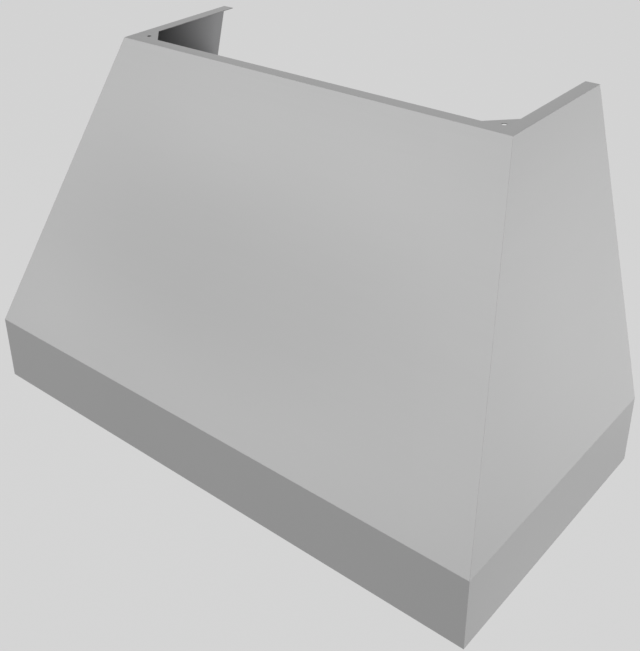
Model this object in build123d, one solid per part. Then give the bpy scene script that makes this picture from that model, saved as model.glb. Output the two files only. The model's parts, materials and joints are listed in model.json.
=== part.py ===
from build123d import *
import math
import os

# Wall-mount range hood in millimetres, +Z up.
# The origin is at the wall plane, under the middle of the hood: X across, +Y into the wall.

# Canopy
hood_width = 1219.2
hood_depth = 609.6
hood_height = 762.0
band_height = 152.4
top_width = 914.4
top_depth = 304.8
sheet = 1.2
top_flange = 27.5
return_flange = 25.0
gusset_leg = 45.5
gusset_hole_inset = 36.75
gusset_hole = 9.5

# Fits between pieces that meet without moving, and sheet of the inner housings
seat_gap = 0.3
thin_sheet = 1.0

# Wall fixing
rail_bottom = 575.0
rail_height = 50.0
rail_thickness = 3.0
rail_tab = 28.0
wall_screw_spacing = 812.8
wall_screw_hole = 9.0
lower_screw_height = 10.0
rear_panel_top = 540.0
rear_flange = 20.0
supply_hole = 22.2
supply_side = 134.6
supply_z = 250.0

# Liner deck
liner_gap = 1.0
liner_recess = 38.0
stud_diameter = 5.0
stud_length = 12.0
stud_clearance = 0.4
stud_end = 60.0
nut_width = 8.0
nut_height = 4.5
front_studs = 5
side_studs = 3
apron_depth = 145.6
side_margin = 54.6
opening_clearance = 7.0

# Filters
filter_count = 3
filter_gap = 4.5
filter_height = 14.0
filter_sheet = 1.0
filter_border = 16.0
tip_drop = 23.65
filter_tail = 22.0
tip_clearance = 8.0
pivot_depth = 76.0
pivot_rise = 18.0
baffle_pitch = 36.0
baffle_width = 24.0
baffle_leg = 6.4
baffle_sheet = 0.8
baffle_play = 0.2
drain_slot = 24.0
pull_span = 70.0
pull_drop = 22.0
pull_wire = 5.0
pull_bend = 9.0
pull_inset = 22.0
pull_foot = 14.0
stop_lap = 28.0
catch_width = 18.0
catch_sheet = 0.6
catch_spacing = 180.0
catch_lap = 3.0
catch_height = 24.0

# Filter hinge
ear_sheet = 1.5
ear_radius = 9.0
ear_root = 12.0
hinge_pin = 5.0
hinge_pin_length = 12.0
pin_clearance = 0.1
press_clearance = 0.02
rail_upstand = 26.0

# Grease trough and cup
trough_front = 66.0
trough_rear = 20.0
trough_depth = 19.0
trough_rim = 1.0
trough_end_gap = 2.0
drain_hole = 14.0
drain_lip = 1.1
runner_drop = 4.8
runner_ledge = 9.0
runner_wall_gap = 1.0
cup_width = 130.0
cup_edge = 10.0
cup_depth = 15.1
cup_margin = 4.0
cup_tab = 10.0
cup_tab_width = 40.0

# Plenum and blower box
plenum_height = 138.8
plenum_flange = 10.0
box_width = 680.0
box_front = 402.0
box_rear = 4.0
box_height = 292.0
box_flange = 12.0

# Blower
wheel_depth = 215.0
wheel_drop = 145.0
wheel_diameter = 152.0
wheel_width = 100.0
wheel_hub = 28.0
wheel_rim = 6.0
blade_count = 32
blade_chord = 13.0
blade_sheet = 1.0
blade_angle = 35.0
scroll_inner_x = 95.0
scroll_width = 120.0
scroll_start = 100.0
scroll_step = 20.0
outlet_width = 135.0
outlet_flange = 9.0
outlet_side = 14.0
outlet_margin = 9.0
inlet_diameter = 124.0
inlet_rim = 10.0
inlet_neck = 5.0
shaft_diameter = 12.7
shaft_half = 200.0
shaft_clearance = 0.05
motor_diameter = 116.0
motor_wall = 4.0
motor_half = 50.0
motor_bell = 12.0
motor_boss = 38.0
stator_length = 56.0
rotor_diameter = 60.0
air_gap = 0.6
bearing_diameter = 28.0
bearing_width = 9.0
terminal_reach = 65.0
terminal_x = 44.0
terminal_diameter = 18.0
terminal_height = 25.0
strap_half = 30.0
strap_sheet = 2.0
strap_leg = 44.0
strap_foot = 16.0
capacitor_diameter = 40.0
capacitor_height = 75.0
capacitor_y = 200.0
capacitor_z = 300.0
tag_width = 6.0
tag_sheet = 0.8
tag_height = 8.0
tag_spacing = 12.0
clip_sheet = 1.2
clip_height = 18.0
clip_foot = 12.0

# Outlet box, collar and damper
duct_diameter = 254.0
duct_depth = 142.0
outlet_box_height = 85.0
collar_height = 85.0
collar_flange = 8.0
collar_head = 5.6
collar_screw_turn = 30.0
damper_height = 30.0
damper_pin = 5.0
damper_sheet = 0.8
damper_play = 4.0
damper_barrel = 8.0
damper_root = 4.8
damper_barrels = 5
damper_barrel_gap = 1.0
damper_bead = 8.0
damper_bead_gap = 8.0

# Lamps
lamp_margin = 149.6
lamp_x = 240.0
lamp_hole = 70.4
lens_diameter = 66.0
lens_thickness = 3.0
bezel_diameter = 84.0
bezel_thickness = 1.8
bezel_lip = 4.0
bezel_neck = 8.0
can_diameter = 76.0
can_height = 25.0
can_wall = 1.4
can_flange = 8.0
module_diameter = 60.0
module_board = 2.0
module_sink = 52.0
module_fins = 6
module_slot = 3.0
gland_reach = 4.0
gland_diameter = 12.0
gland_height = 16.0

# Controls
panel_width = 300.0
panel_depth = 90.0
panel_sheet = 1.6
panel_corner = 8.0
knob_x = 75.0
knob_diameter = 42.0
knob_height = 23.0
knob_gap = 0.8
knob_taper = 2.0
knob_hollow = 32.0
knob_hollow_depth = 6.0
knob_grips = 18
grip_diameter = 3.0
pointer_width = 2.4
knob_shaft = 6.0
knob_shaft_depth = 15.0
switch_width = 28.0
switch_height = 19.0
bush_diameter = 9.6
bush_drop = 3.0
bush_clearance = 0.4
bush_nut = 14.0
bush_nut_height = 2.4

# Supply box, lamp driver and leads
junction_width = 90.0
junction_depth = 60.0
junction_height = 80.0
knockout_clearance = 0.5
block_width = 60.0
block_depth = 20.0
block_height = 18.0
block_ways = 4
block_slot = 1.2
block_screw = 5.0
driver_width = 120.0
driver_depth = 45.0
driver_height = 28.0
driver_corner = 3.0
driver_y = 307.0
lead_diameter = 7.0
lead_clearance = 1.0
lead_bend = 22.0
lead_side = 14.0
lead_front = 14.0
lead_shift = 36.0
lead_height = 80.0
lead_end_bend = 10.0
loop_diameter = 5.0
loop_front = 36.0
clip_wall = 1.0
clip_width = 12.0

# Sheet metal screws
screw_diameter = 4.0
screw_head = 8.0
screw_head_height = 3.0
screw_length = 8.0
screw_clearance = 0.1
screw_inset = 5.0

# Values worked out from the driving dimensions
slope_height = hood_height - band_height
front_lean = (hood_depth - top_depth) / slope_height
side_lean = (hood_width - top_width) / 2 / slope_height
deck_top = liner_recess + sheet
open_front = hood_depth - apron_depth
open_half = hood_width / 2 - side_margin + opening_clearance
filter_pitch = (hood_width - 2 * side_margin) / filter_count
filter_width = filter_pitch - filter_gap
filter_reach = open_front - tip_clearance - pivot_depth
pivot_z = liner_recess + pivot_rise
plenum_top = deck_top + plenum_height
filter_rise = plenum_top - tip_drop - pivot_z
filter_slope = math.degrees(math.asin(filter_rise / filter_reach))
box_top = plenum_top + box_height
box_half = box_width / 2
wheel_z = box_top - wheel_drop
scroll_top = box_top - thin_sheet
outlet_rear = wheel_depth - scroll_start - 2.5 * scroll_step
outlet_front = outlet_rear + outlet_width
outlet_half = scroll_inner_x + scroll_width
outlet_box_top = box_top + outlet_box_height
collar_top = outlet_box_top + collar_height
damper_z = outlet_box_top + damper_height
trough_floor = liner_recess + trough_rim - trough_depth
lamp_y = -(hood_depth - return_flange + open_front) / 2
outer_lamp_x = hood_width / 2 - lamp_margin
supply_x = hood_width / 2 - supply_side
lamp_xs = [-outer_lamp_x, -lamp_x, lamp_x, outer_lamp_x]
ear_xs = [(n - filter_count / 2) * filter_pitch for n in range(filter_count + 1)]
filter_xs = [(n - (filter_count - 1) / 2) * filter_pitch for n in range(filter_count)]
overshoot = 5.0


# Shapes that many pieces share

def block(x0, x1, y0, y1, z0, z1):
    """A block between two corners."""
    return Pos((x0 + x1) / 2, (y0 + y1) / 2, (z0 + z1) / 2) * Box(x1 - x0, y1 - y0, z1 - z0)


def post(diameter, x, y, z0, z1):
    """An upright cylinder."""
    return Pos(x, y, (z0 + z1) / 2) * Cylinder(diameter / 2, z1 - z0)


def ring(outer, inner, x, y, z0, z1):
    """An upright ring."""
    hole = post(inner, x, y, z0 - overshoot, z1 + overshoot)
    return post(outer, x, y, z0, z1) - hole


def rod(diameter, x0, x1, y, z):
    """A cylinder along X."""
    return Pos((x0 + x1) / 2, y, z) * Rot(0, 90, 0) * Cylinder(diameter / 2, x1 - x0)


def rod_y(diameter, x, y0, y1, z):
    """A cylinder along Y."""
    return Pos(x, (y0 + y1) / 2, z) * Rot(90, 0, 0) * Cylinder(diameter / 2, y1 - y0)


def along_x(points, x0, x1):
    """A profile of (y, z) points carried along X."""
    face = make_face(Polyline(*[(x0, y, z) for y, z in points], close=True))
    return extrude(face, amount=x1 - x0, dir=(1, 0, 0))


def along_y(points, y0, y1):
    """A profile of (x, z) points carried along Y."""
    face = make_face(Polyline(*[(x, y0, z) for x, z in points], close=True))
    return extrude(face, amount=y1 - y0, dir=(0, 1, 0))


def along_z(points, z0, z1):
    """A profile of (x, y) points carried up."""
    face = make_face(Polyline(*[(x, y, z0) for x, y in points], close=True))
    return extrude(face, amount=z1 - z0, dir=(0, 0, 1))


def folded(points, thickness):
    """The outline of a folded sheet: its one side follows the points, and the sheet lies to their left."""
    normals = []
    for (a, b), (c, d) in zip(points, points[1:]):
        length = math.hypot(c - a, d - b)
        normals.append(((b - d) / length, (c - a) / length))
    ends = [normals[0]] + normals + [normals[-1]]
    far = []
    for (p, q), (a, b), (c, d) in zip(points, ends, ends[1:]):
        share = thickness / (1 + a * c + b * d)
        far.append((p + (a + c) * share, q + (b + d) * share))
    return points + far[::-1]


def tube(points, diameter, bend):
    """A round lead or wire along straight runs joined by tangent arcs."""
    path = FilletPolyline(*points, radius=bend) if len(points) > 2 else Line(*points)
    start = Plane(origin=path @ 0, z_dir=path % 0)
    return sweep(start * Circle(diameter / 2), path=path)


def group(shapes):
    """Separate like solids kept as one sub-part."""
    return Compound(children=[solid for shape in shapes for solid in shape.solids()])


def both_sides(shape):
    """A piece and its mirror image across the hood's middle."""
    return [shape, mirror(shape, Plane.YZ)]


def canopy_reach(bottom, lean, inset, z):
    """How far a canopy face stands out at a height, at an inset square to its sheet."""
    upright = bottom - inset
    leaning = bottom - lean * (z - band_height) - inset * math.hypot(1, lean)
    return min(upright, leaning)


def front_at(z, inset=0.0):
    return canopy_reach(hood_depth, front_lean, inset, z)


def half_at(z, inset=0.0):
    return canopy_reach(hood_width / 2, side_lean, inset, z)


def fold_height(lean, inset):
    """Where the band meets the slope on a surface at an inset."""
    return band_height - inset * (math.hypot(1, lean) - 1) / lean


def front_envelope(inset):
    """All that lies behind the front panel's surface at an inset."""
    heights = (0, fold_height(front_lean, inset), hood_height)
    face = [(-front_at(z, inset), z) for z in heights]
    return along_x(face + [(0, hood_height), (0, 0)], -hood_width, hood_width)


def side_envelope(inset):
    """All that lies between the two side panels' surfaces at an inset."""
    heights = (0, fold_height(side_lean, inset), hood_height)
    right = [(half_at(z, inset), z) for z in heights]
    left = [(-x, z) for x, z in reversed(right)]
    return along_y(right + left, -hood_depth - overshoot, 0)


def panel_profile(bottom, lean, top):
    """A canopy panel's section: bottom return flange, band, slope and top flange."""
    under_top = hood_height - sheet
    fold = fold_height(lean, sheet)
    return [
        (bottom - return_flange, 0),
        (bottom, 0),
        (bottom, band_height),
        (top, hood_height),
        (top - top_flange, hood_height),
        (top - top_flange, under_top),
        (canopy_reach(bottom, lean, sheet, under_top), under_top),
        (bottom - sheet, fold),
        (bottom - sheet, sheet),
        (bottom - return_flange, sheet),
    ]


# Canopy

def make_front_panel():
    profile = [(-y, z) for y, z in panel_profile(hood_depth, front_lean, top_depth)]
    return along_x(profile, -hood_width / 2, hood_width / 2) & side_envelope(0)


def make_side_panel(front_panel):
    """The right side panel, butted against the inside of the front panel."""
    profile = panel_profile(hood_width / 2, side_lean, top_width / 2)
    panel = along_y(profile, -hood_depth, 0) & front_envelope(sheet)
    inside = hood_width / 2 - sheet
    notch = block(0, inside, -sheet - seat_gap, 0, -overshoot, sheet)
    return panel - front_panel - notch


def make_top_gusset():
    """The plate welded flush into the right front corner of the top flange."""
    x = top_width / 2 - top_flange
    y = top_flange - top_depth
    plate = along_z([(x, y), (x, y + gusset_leg), (x - gusset_leg, y)], hood_height - sheet, hood_height)
    hole_x = top_width / 2 - gusset_hole_inset
    hole_y = gusset_hole_inset - top_depth
    return plate - post(gusset_hole, hole_x, hole_y, hood_height - overshoot, hood_height + overshoot)


# Wall fixing

def wall_screw_holes(z):
    half = wall_screw_spacing / 2
    return [rod_y(wall_screw_hole, x, -overshoot, overshoot, z) for x in (-half, half)]


def make_hanging_rail():
    z0 = rail_bottom
    z1 = rail_bottom + rail_height
    bar = block(-hood_width, hood_width, -rail_thickness, 0, z0, z1) & side_envelope(sheet)
    tabs = block(-hood_width, hood_width, -rail_tab, 0, z0, z1) & side_envelope(sheet)
    tabs = tabs - side_envelope(sheet + rail_thickness)
    return bar + tabs - wall_screw_holes((z0 + z1) / 2)


def make_rear_panel():
    inset = sheet + seat_gap
    plate = block(-hood_width, hood_width, -sheet, 0, 0, rear_panel_top) & side_envelope(inset)
    flanges = block(-hood_width, hood_width, -rear_flange, 0, deck_top + rear_flange, rear_panel_top)
    flanges = (flanges & side_envelope(inset)) - side_envelope(inset + sheet)
    supply = rod_y(supply_hole, supply_x, -overshoot, overshoot, supply_z)
    return plate + flanges - wall_screw_holes(lower_screw_height) - supply


# Liner deck and what holds it

def rim(inset, z0, z1):
    """A block set in from the band on the front and sides, up to the rear panel."""
    x = hood_width / 2 - inset
    return block(-x, x, inset - hood_depth, -sheet - seat_gap, z0, z1)


def stud_places():
    inset = (sheet + return_flange) / 2
    x_end = hood_width / 2 - stud_end
    front = [(-x_end + 2 * x_end * n / (front_studs - 1), inset - hood_depth) for n in range(front_studs)]
    y_run = hood_depth - 2 * stud_end
    ys = [-stud_end - y_run * n / (side_studs - 1) for n in range(side_studs)]
    x_side = hood_width / 2 - inset
    return front + [(x, y) for x in (-x_side, x_side) for y in ys]


def make_liner_deck():
    """The pan in the underside: a flange on the canopy's return flanges, a wall and a recessed deck."""
    flange = rim(sheet + liner_gap, sheet, 2 * sheet) - rim(return_flange, 0, 2 * sheet + overshoot)
    wall = rim(return_flange - sheet, sheet, deck_top) - rim(return_flange, 0, liner_recess)
    under = liner_recess - overshoot
    over = deck_top + overshoot
    opening = block(-open_half, open_half, -open_front, seat_gap - trough_rear, under, over)
    hole = stud_diameter + 2 * stud_clearance
    studs = [post(hole, x, y, -overshoot, 2 * sheet + overshoot) for x, y in stud_places()]
    lamps = [post(lamp_hole, x, lamp_y, under, over) for x in lamp_xs]
    bush_hole = bush_diameter + 2 * bush_clearance
    bushes = [post(bush_hole, x, lamp_y, under, over) for x in (-knob_x, knob_x)]
    screws = screw_holes(plenum_screws() + hinge_rail_screws())
    return flange + wall - opening - studs - lamps - bushes - screws


def make_weld_studs():
    return group([post(stud_diameter, x, y, sheet, sheet + stud_length) for x, y in stud_places()])


def nut(width, bore, x, y, z0, height):
    face = RegularPolygon(width / 2, 6, major_radius=False) - Circle(bore / 2)
    return Pos(x, y, z0) * extrude(face, amount=height)


def make_nuts():
    """The nuts on the liner's studs, and one under each knob on its switch's bush."""
    bore = stud_diameter + 2 * press_clearance
    stud_nuts = [nut(nut_width, bore, x, y, 2 * sheet, nut_height) for x, y in stud_places()]
    low = liner_recess - panel_sheet - bush_nut_height
    bore = bush_diameter + 2 * press_clearance
    bush_nuts = [nut(bush_nut, bore, x, lamp_y, low, bush_nut_height) for x in (-knob_x, knob_x)]
    return group(stud_nuts + bush_nuts)


# Sheet metal screws, each at the top face that its head bears on

def spread(start, end, count):
    return [start + (end - start) * n / (count - 1) for n in range(count)]


def plenum_screws():
    y = -open_front - thin_sheet - screw_inset
    top = deck_top + thin_sheet
    return [(x, y, top) for x in spread(-open_half + 2 * screw_inset, open_half - 2 * screw_inset, 6)]


def box_screws():
    y = -box_front - screw_inset
    x_side = box_half + screw_inset
    top = plenum_top + thin_sheet
    front = [(x, y, top) for x in spread(-box_half + screw_inset, box_half - screw_inset, 5)]
    ys = (-box_front * 2 / 3, -box_front / 3)
    return front + [(x, y, top) for x in (-x_side, x_side) for y in ys]


def lid_screws():
    """Along the front and the sides of the blower box's lid, clear of the outlet box."""
    x_side = box_half - screw_inset
    y_front = screw_inset - box_front
    front = [(x, y_front, box_top) for x in spread(-x_side, x_side, 5)]
    ys = spread(-box_front * 2 / 3, -box_rear - 2 * screw_inset, 3)
    return front + [(x, y, box_top) for x in (-x_side, x_side) for y in ys]


def outlet_box_screws():
    x, y0, y1 = outlet_box_corners()
    x_end = x + screw_inset
    top = box_top + thin_sheet
    ys = (y0 + 2 * screw_inset, (y0 + y1) / 2, y1 - 2 * screw_inset)
    sides = [(x_side, y, top) for x_side in (-x_end, x_end) for y in ys]
    return sides + [(x_front, y0 - screw_inset, top) for x_front in spread(-x_end, x_end, 4)]


def scroll_screws():
    edge = outlet_flange / 2
    xs = (scroll_inner_x - edge, outlet_half + edge)
    ys = (-outlet_front - edge, -outlet_rear + edge)
    return [(way * x, y, box_top) for way in (-1, 1) for x in xs for y in ys]


def collar_screws():
    """Four near the rim of the collar's flange, so that a duct slides down between their heads and the tube."""
    radius = duct_diameter / 2 + collar_flange - seat_gap - collar_head / 2
    top = outlet_box_top + sheet
    turn = math.radians(collar_screw_turn)
    x = radius * math.cos(turn)
    y = radius * math.sin(turn)
    return [(side * x, way * y - duct_depth, top) for side in (-1, 1) for way in (-1, 1)]


def hinge_rail_screws():
    top = deck_top + sheet + ear_sheet
    xs = spread(-open_half + 4 * screw_inset, open_half - 4 * screw_inset, 5)
    return [(x, -trough_rear + screw_inset + sheet, top) for x in xs]


def screw_holes(places):
    hole = screw_diameter + 2 * screw_clearance
    return [post(hole, x, y, top - screw_length, top + overshoot) for x, y, top in places]


def screw(x, y, top, head):
    face = RegularPolygon(head / 2, 6, major_radius=False)
    hexagon = Pos(x, y, top) * extrude(face, amount=screw_head_height)
    return hexagon + post(screw_diameter, x, y, top - screw_length, top)


def make_panel_screws():
    places = plenum_screws() + box_screws() + lid_screws() + outlet_box_screws() + scroll_screws()
    shapes = [screw(x, y, top, screw_head) for x, y, top in places + hinge_rail_screws()]
    return group(shapes + [screw(x, y, top, collar_head) for x, y, top in collar_screws()])


# Filters, made about their pivot: the front edge towards -Y, then tilted up

def filter_frame_of_reference(x):
    return Pos(x, -pivot_depth, pivot_z) * Rot(-filter_slope, 0, 0)


def filter_point(forward, up):
    """The (y, z) place of a point given along and square to the tilted filters."""
    a = math.radians(filter_slope)
    y = -pivot_depth - forward * math.cos(a) + up * math.sin(a)
    z = pivot_z + forward * math.sin(a) + up * math.cos(a)
    return (y, z)


def filter_slab(inset, high):
    """A block over a flat filter, drawn in at its edges, with a half height."""
    half = filter_width / 2 - inset
    return block(-half, half, inset - filter_reach, filter_tail - inset, -high, high)


def make_filter_frame(x):
    """A channel frame that is open inside, with pivot holes at its rear and drain slots in its low edge."""
    half = filter_width / 2
    high = filter_height / 2
    cavity_high = high - filter_sheet
    window = filter_slab(filter_border, filter_height)
    frame = filter_slab(0, high) - window - filter_slab(filter_sheet, cavity_high)
    pivot = rod(hinge_pin + 2 * pin_clearance, -half - overshoot, half + overshoot, 0, 0)
    drains = []
    for middle in (-half / 2, 0, half / 2):
        x0 = middle - drain_slot / 2
        y0 = filter_tail - 2 * filter_sheet
        top = 2 * filter_sheet - cavity_high
        drains.append(block(x0, x0 + drain_slot, y0, filter_tail + overshoot, -cavity_high, top))
    return filter_frame_of_reference(x) * (frame - pivot - drains)


def make_filter_baffles(x):
    """Channels that run down the slope, the lower row open upward and the upper row open downward."""
    high = filter_height / 2 - filter_sheet - baffle_play
    y0 = filter_sheet + baffle_play - filter_reach
    y1 = filter_tail - filter_sheet - baffle_play
    room = filter_width - 2 * filter_sheet - 2 * hinge_pin
    lower = int((room - baffle_width) // baffle_pitch) + 1
    channels = []
    for count, way in ((lower, 1), (lower - 1, -1)):
        for n in range(count):
            middle = (n - (count - 1) / 2) * baffle_pitch
            x0 = middle - baffle_width / 2
            x1 = middle + baffle_width / 2
            foot = -way * high
            leg = foot + way * baffle_leg
            inner = foot + way * baffle_sheet
            profile = [
                (x0, foot), (x1, foot), (x1, leg), (x1 - baffle_sheet, leg),
                (x1 - baffle_sheet, inner), (x0 + baffle_sheet, inner), (x0 + baffle_sheet, leg), (x0, leg),
            ]
            channels.append(filter_frame_of_reference(x) * along_y(profile, y0, y1))
    return group(channels)


def make_filter_pull(x):
    y = pull_inset - filter_reach
    top = -filter_height / 2
    low = top - pull_drop
    a = pull_span / 2
    points = [(-a, y, top), (-a, y, low), (a, y, low), (a, y, top)]
    pull = tube(points, pull_wire, pull_bend)
    feet = [post(pull_foot, side, y, top - 2 * filter_sheet, top) for side in (-a, a)]
    return filter_frame_of_reference(x) * (pull + feet)


def make_filter_catches():
    """Spring steel clips on the plenum's front wall that hold each filter's front edge."""
    wall_z = filter_point(filter_reach, 0)[1]
    under = filter_height / 2 + 2 * catch_sheet
    line = [
        (-open_front, wall_z),
        (-open_front, wall_z - catch_height),
        filter_point(filter_reach - catch_lap, -under),
        filter_point(filter_reach - 4 * catch_lap, -under - 2 * catch_lap),
    ]
    profile = folded(line, catch_sheet)
    places = [x + side * catch_spacing / 2 for x in filter_xs for side in (-1, 1)]
    return group([along_x(profile, x - catch_width / 2, x + catch_width / 2) for x in places])


def make_filter_hinge_rail():
    """The folded rail behind the filters, with an ear at each end of each filter."""
    foot = deck_top + sheet
    line = [(-trough_rear, foot + rail_upstand), (-trough_rear, foot), (-sheet - 2 * seat_gap, foot)]
    rail = along_x(folded(line, ear_sheet), -open_half, open_half)
    ears = []
    for x in ear_xs:
        x0 = x - ear_sheet / 2
        x1 = x + ear_sheet / 2
        top = pivot_z + ear_radius
        root = [(-trough_rear + ear_sheet / 2, foot + ear_root / 2), (-trough_rear + ear_sheet / 2, top)]
        arm = along_x(root + [(-pivot_depth, top), (-pivot_depth, pivot_z - ear_radius)], x0, x1)
        ears.append(arm + rod(2 * ear_radius, x0, x1, -pivot_depth, pivot_z))
    hole = hinge_pin + 2 * press_clearance
    holes = [rod(hole, x - ear_sheet, x + ear_sheet, -pivot_depth, pivot_z) for x in ear_xs]
    return rail + ears - holes - screw_holes(hinge_rail_screws())


def make_hinge_pins():
    """A pin through each ear, and the long pin across the collar that carries the damper."""
    half = hinge_pin_length / 2
    pins = [rod(hinge_pin, x - half, x + half, -pivot_depth, pivot_z) for x in ear_xs]
    half = duct_diameter / 2 - thin_sheet / 4
    return group(pins + [rod(damper_pin, -half, half, -duct_depth, damper_z)])


# Grease trough and cup

def make_grease_trough():
    """The folded trough behind the filters, with ends, a drain lip and two runners for the cup."""
    rim_z = liner_recess + trough_rim
    line = [
        (-trough_front, rim_z), (-trough_front, trough_floor), (-trough_rear, trough_floor),
        (-trough_rear, deck_top), (-sheet - 2 * seat_gap, deck_top),
    ]
    half = open_half - trough_end_gap
    channel = along_x(folded(line, sheet), -half, half)
    end = block(half - sheet, half, -trough_front, -trough_rear, trough_floor, rim_z)
    middle = -(trough_front + trough_rear) / 2
    hole = post(drain_hole, 0, middle, trough_floor - overshoot, trough_floor + overshoot)
    lip = ring(drain_hole + 2 * sheet, drain_hole, 0, middle, trough_floor - drain_lip, trough_floor)
    runner_x = cup_width / 2 + cup_edge + runner_wall_gap
    y0 = -trough_front + cup_margin
    y1 = -trough_rear - cup_margin
    low = trough_floor - runner_drop
    wall = block(runner_x, runner_x + sheet, y0, y1, low, trough_floor)
    ledge = block(runner_x - runner_ledge, runner_x + sheet, y0, y1, low, low + sheet)
    trough = channel + both_sides(end) - hole + lip + both_sides(wall + ledge)
    return trough - screw_holes(hinge_rail_screws())


def make_grease_cup():
    """The cup under the trough's drain, with edges that slide on the runners and a tab to pull."""
    top = trough_floor - runner_drop + sheet + seat_gap + thin_sheet
    low = top - cup_depth
    half = cup_width / 2
    y0 = -trough_front + cup_margin
    y1 = -trough_rear - cup_margin
    body = block(-half, half, y0, y1, low, top)
    room = half - thin_sheet
    hollow = block(-room, room, y0 + thin_sheet, y1 - thin_sheet, low + thin_sheet, top + overshoot)
    edge = block(-half - cup_edge, half + cup_edge, y0, y1, top - thin_sheet, top)
    tab_half = cup_tab_width / 2
    tab = block(-tab_half, tab_half, y0 - cup_tab, y0, top - thin_sheet, top)
    curl = block(-tab_half, tab_half, y0 - cup_tab, y0 - cup_tab + thin_sheet, top - cup_tab / 2, top)
    return body + edge + tab + curl - hollow


# Plenum and blower box

def make_plenum():
    """The box above the filters, open below, with a hatch under the blower box and a stop for the filters."""
    y_front = -open_front - thin_sheet
    y_rear = -sheet - seat_gap
    outer_x = open_half + thin_sheet
    outer = block(-outer_x, outer_x, y_front, y_rear, deck_top, plenum_top)
    room = block(-open_half, open_half, -open_front, 0, deck_top - overshoot, plenum_top - thin_sheet)
    hatch_x = box_half - thin_sheet
    hatch_rear = -box_rear - thin_sheet
    hatch = block(-hatch_x, hatch_x, thin_sheet - box_front, hatch_rear, deck_top, plenum_top + overshoot)
    foot_front = block(-outer_x, outer_x, y_front - plenum_flange, y_front, deck_top, deck_top + thin_sheet)
    foot_side = block(outer_x, outer_x + plenum_flange, y_front, y_rear, deck_top, deck_top + thin_sheet)
    stop_low = filter_height / 2 + seat_gap
    stop_front = -filter_reach - 2 * stop_lap
    stop_rear = stop_lap - filter_reach
    stop = block(-open_half, open_half, stop_front, stop_rear, stop_low, stop_low + thin_sheet)
    stop = filter_frame_of_reference(0) * stop
    stop = stop & block(-open_half, open_half, -open_front, 0, deck_top, plenum_top)
    shell = outer - room - hatch + foot_front + both_sides(foot_side) + stop
    return shell - screw_holes(plenum_screws() + box_screws())


def scroll_outline(inset):
    """The volute's section at an inset: three quarter arcs that widen, a straight throat and a tongue."""
    step = scroll_step
    y = -wheel_depth - step / 2
    z = wheel_z - step / 2
    radius = scroll_start - inset
    top = scroll_top + (overshoot if inset else 0)
    throat = -outlet_rear - inset
    tongue = -outlet_front + inset
    crown = z + radius
    arcs = [
        CenterArc((y, z), radius, 90, 90),
        CenterArc((y + step, z), radius + step, 180, 90),
        CenterArc((y + step, z + step), radius + 2 * step, 270, 90),
    ]
    rest = Polyline((throat, z + step), (throat, top), (tongue, top), (tongue, crown), (y, crown))
    return make_face(arcs + [rest])


def wheel_side(x, y_z_face, width):
    """Carries a face drawn in (y, z) along X from x."""
    plane = Plane(origin=(x, 0, 0), x_dir=(0, 1, 0), z_dir=(1, 0, 0))
    return extrude(plane * y_z_face, amount=width)


def make_scroll():
    """The right scroll housing, open at its top, with an inlet on each side."""
    outer = wheel_side(scroll_inner_x, scroll_outline(0), scroll_width)
    room = scroll_width - 2 * thin_sheet
    inner = wheel_side(scroll_inner_x + thin_sheet, scroll_outline(thin_sheet), room)
    inlet = rod(inlet_diameter, scroll_inner_x - overshoot, outlet_half + overshoot, -wheel_depth, wheel_z)
    lip = block(
        scroll_inner_x - outlet_flange, outlet_half + outlet_flange,
        -outlet_front - outlet_flange, -outlet_rear + outlet_flange, scroll_top - thin_sheet, scroll_top,
    )
    return outer + lip - inner - inlet - screw_holes(scroll_screws())


def make_inlet_rings():
    """A flanged ring in each inlet of both scrolls."""
    rings = []
    for face, way in ((scroll_inner_x, 1), (outlet_half, -1)):
        bore = inlet_diameter - 4 * thin_sheet
        back = face - way * thin_sheet
        inside = face + way * inlet_neck
        flange = rod(inlet_diameter + 2 * inlet_rim, min(back, face), max(back, face), -wheel_depth, wheel_z)
        neck = rod(inlet_diameter - 2 * seat_gap, min(face, inside), max(face, inside), -wheel_depth, wheel_z)
        through = rod(bore, face - 2 * inlet_neck, face + 2 * inlet_neck, -wheel_depth, wheel_z)
        rings += both_sides(flange + neck - through)
    return group(rings)


def make_blower_wheel():
    """The right wheel: forward-curved blades between two end rims, on a middle disc and hub."""
    radius = wheel_diameter / 2
    x0 = scroll_inner_x + (scroll_width - wheel_width) / 2
    middle = radius - blade_chord * math.cos(math.radians(blade_angle)) / 2 - blade_sheet / 2
    blade = Rot(0, 0, blade_angle) * Rectangle(blade_chord, blade_sheet)
    blades = Sketch() + [place * blade for place in PolarLocations(middle, blade_count)]
    end_rim = Circle(radius) - Circle(radius - wheel_rim)
    disc = Circle(radius) - Circle(shaft_diameter / 2)
    hub = Circle(wheel_hub / 2) - Circle(shaft_diameter / 2)
    half = wheel_width / 2
    wheel = extrude(blades, amount=wheel_width)
    wheel += extrude(end_rim, amount=2 * thin_sheet)
    wheel += Pos(0, 0, wheel_width - 2 * thin_sheet) * extrude(end_rim, amount=2 * thin_sheet)
    wheel += Pos(0, 0, half - thin_sheet) * extrude(disc, amount=2 * thin_sheet)
    wheel += Pos(0, 0, half - wheel_hub / 2) * extrude(hub, amount=wheel_hub)
    return Pos(x0, -wheel_depth, wheel_z) * Rot(0, 90, 0) * wheel


def make_motor_shaft():
    return rod(shaft_diameter, -shaft_half, shaft_half, -wheel_depth, wheel_z)


def make_motor_rotor():
    half = stator_length / 2
    core = rod(rotor_diameter, -half, half, -wheel_depth, wheel_z)
    return core - rod(shaft_diameter, -half - overshoot, half + overshoot, -wheel_depth, wheel_z)


def make_motor_stator():
    half = stator_length / 2
    outer = motor_diameter - 2 * motor_wall
    bore = rotor_diameter + 2 * air_gap
    stator = rod(outer, -half, half, -wheel_depth, wheel_z)
    return stator - rod(bore, -half - overshoot, half + overshoot, -wheel_depth, wheel_z)


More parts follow.
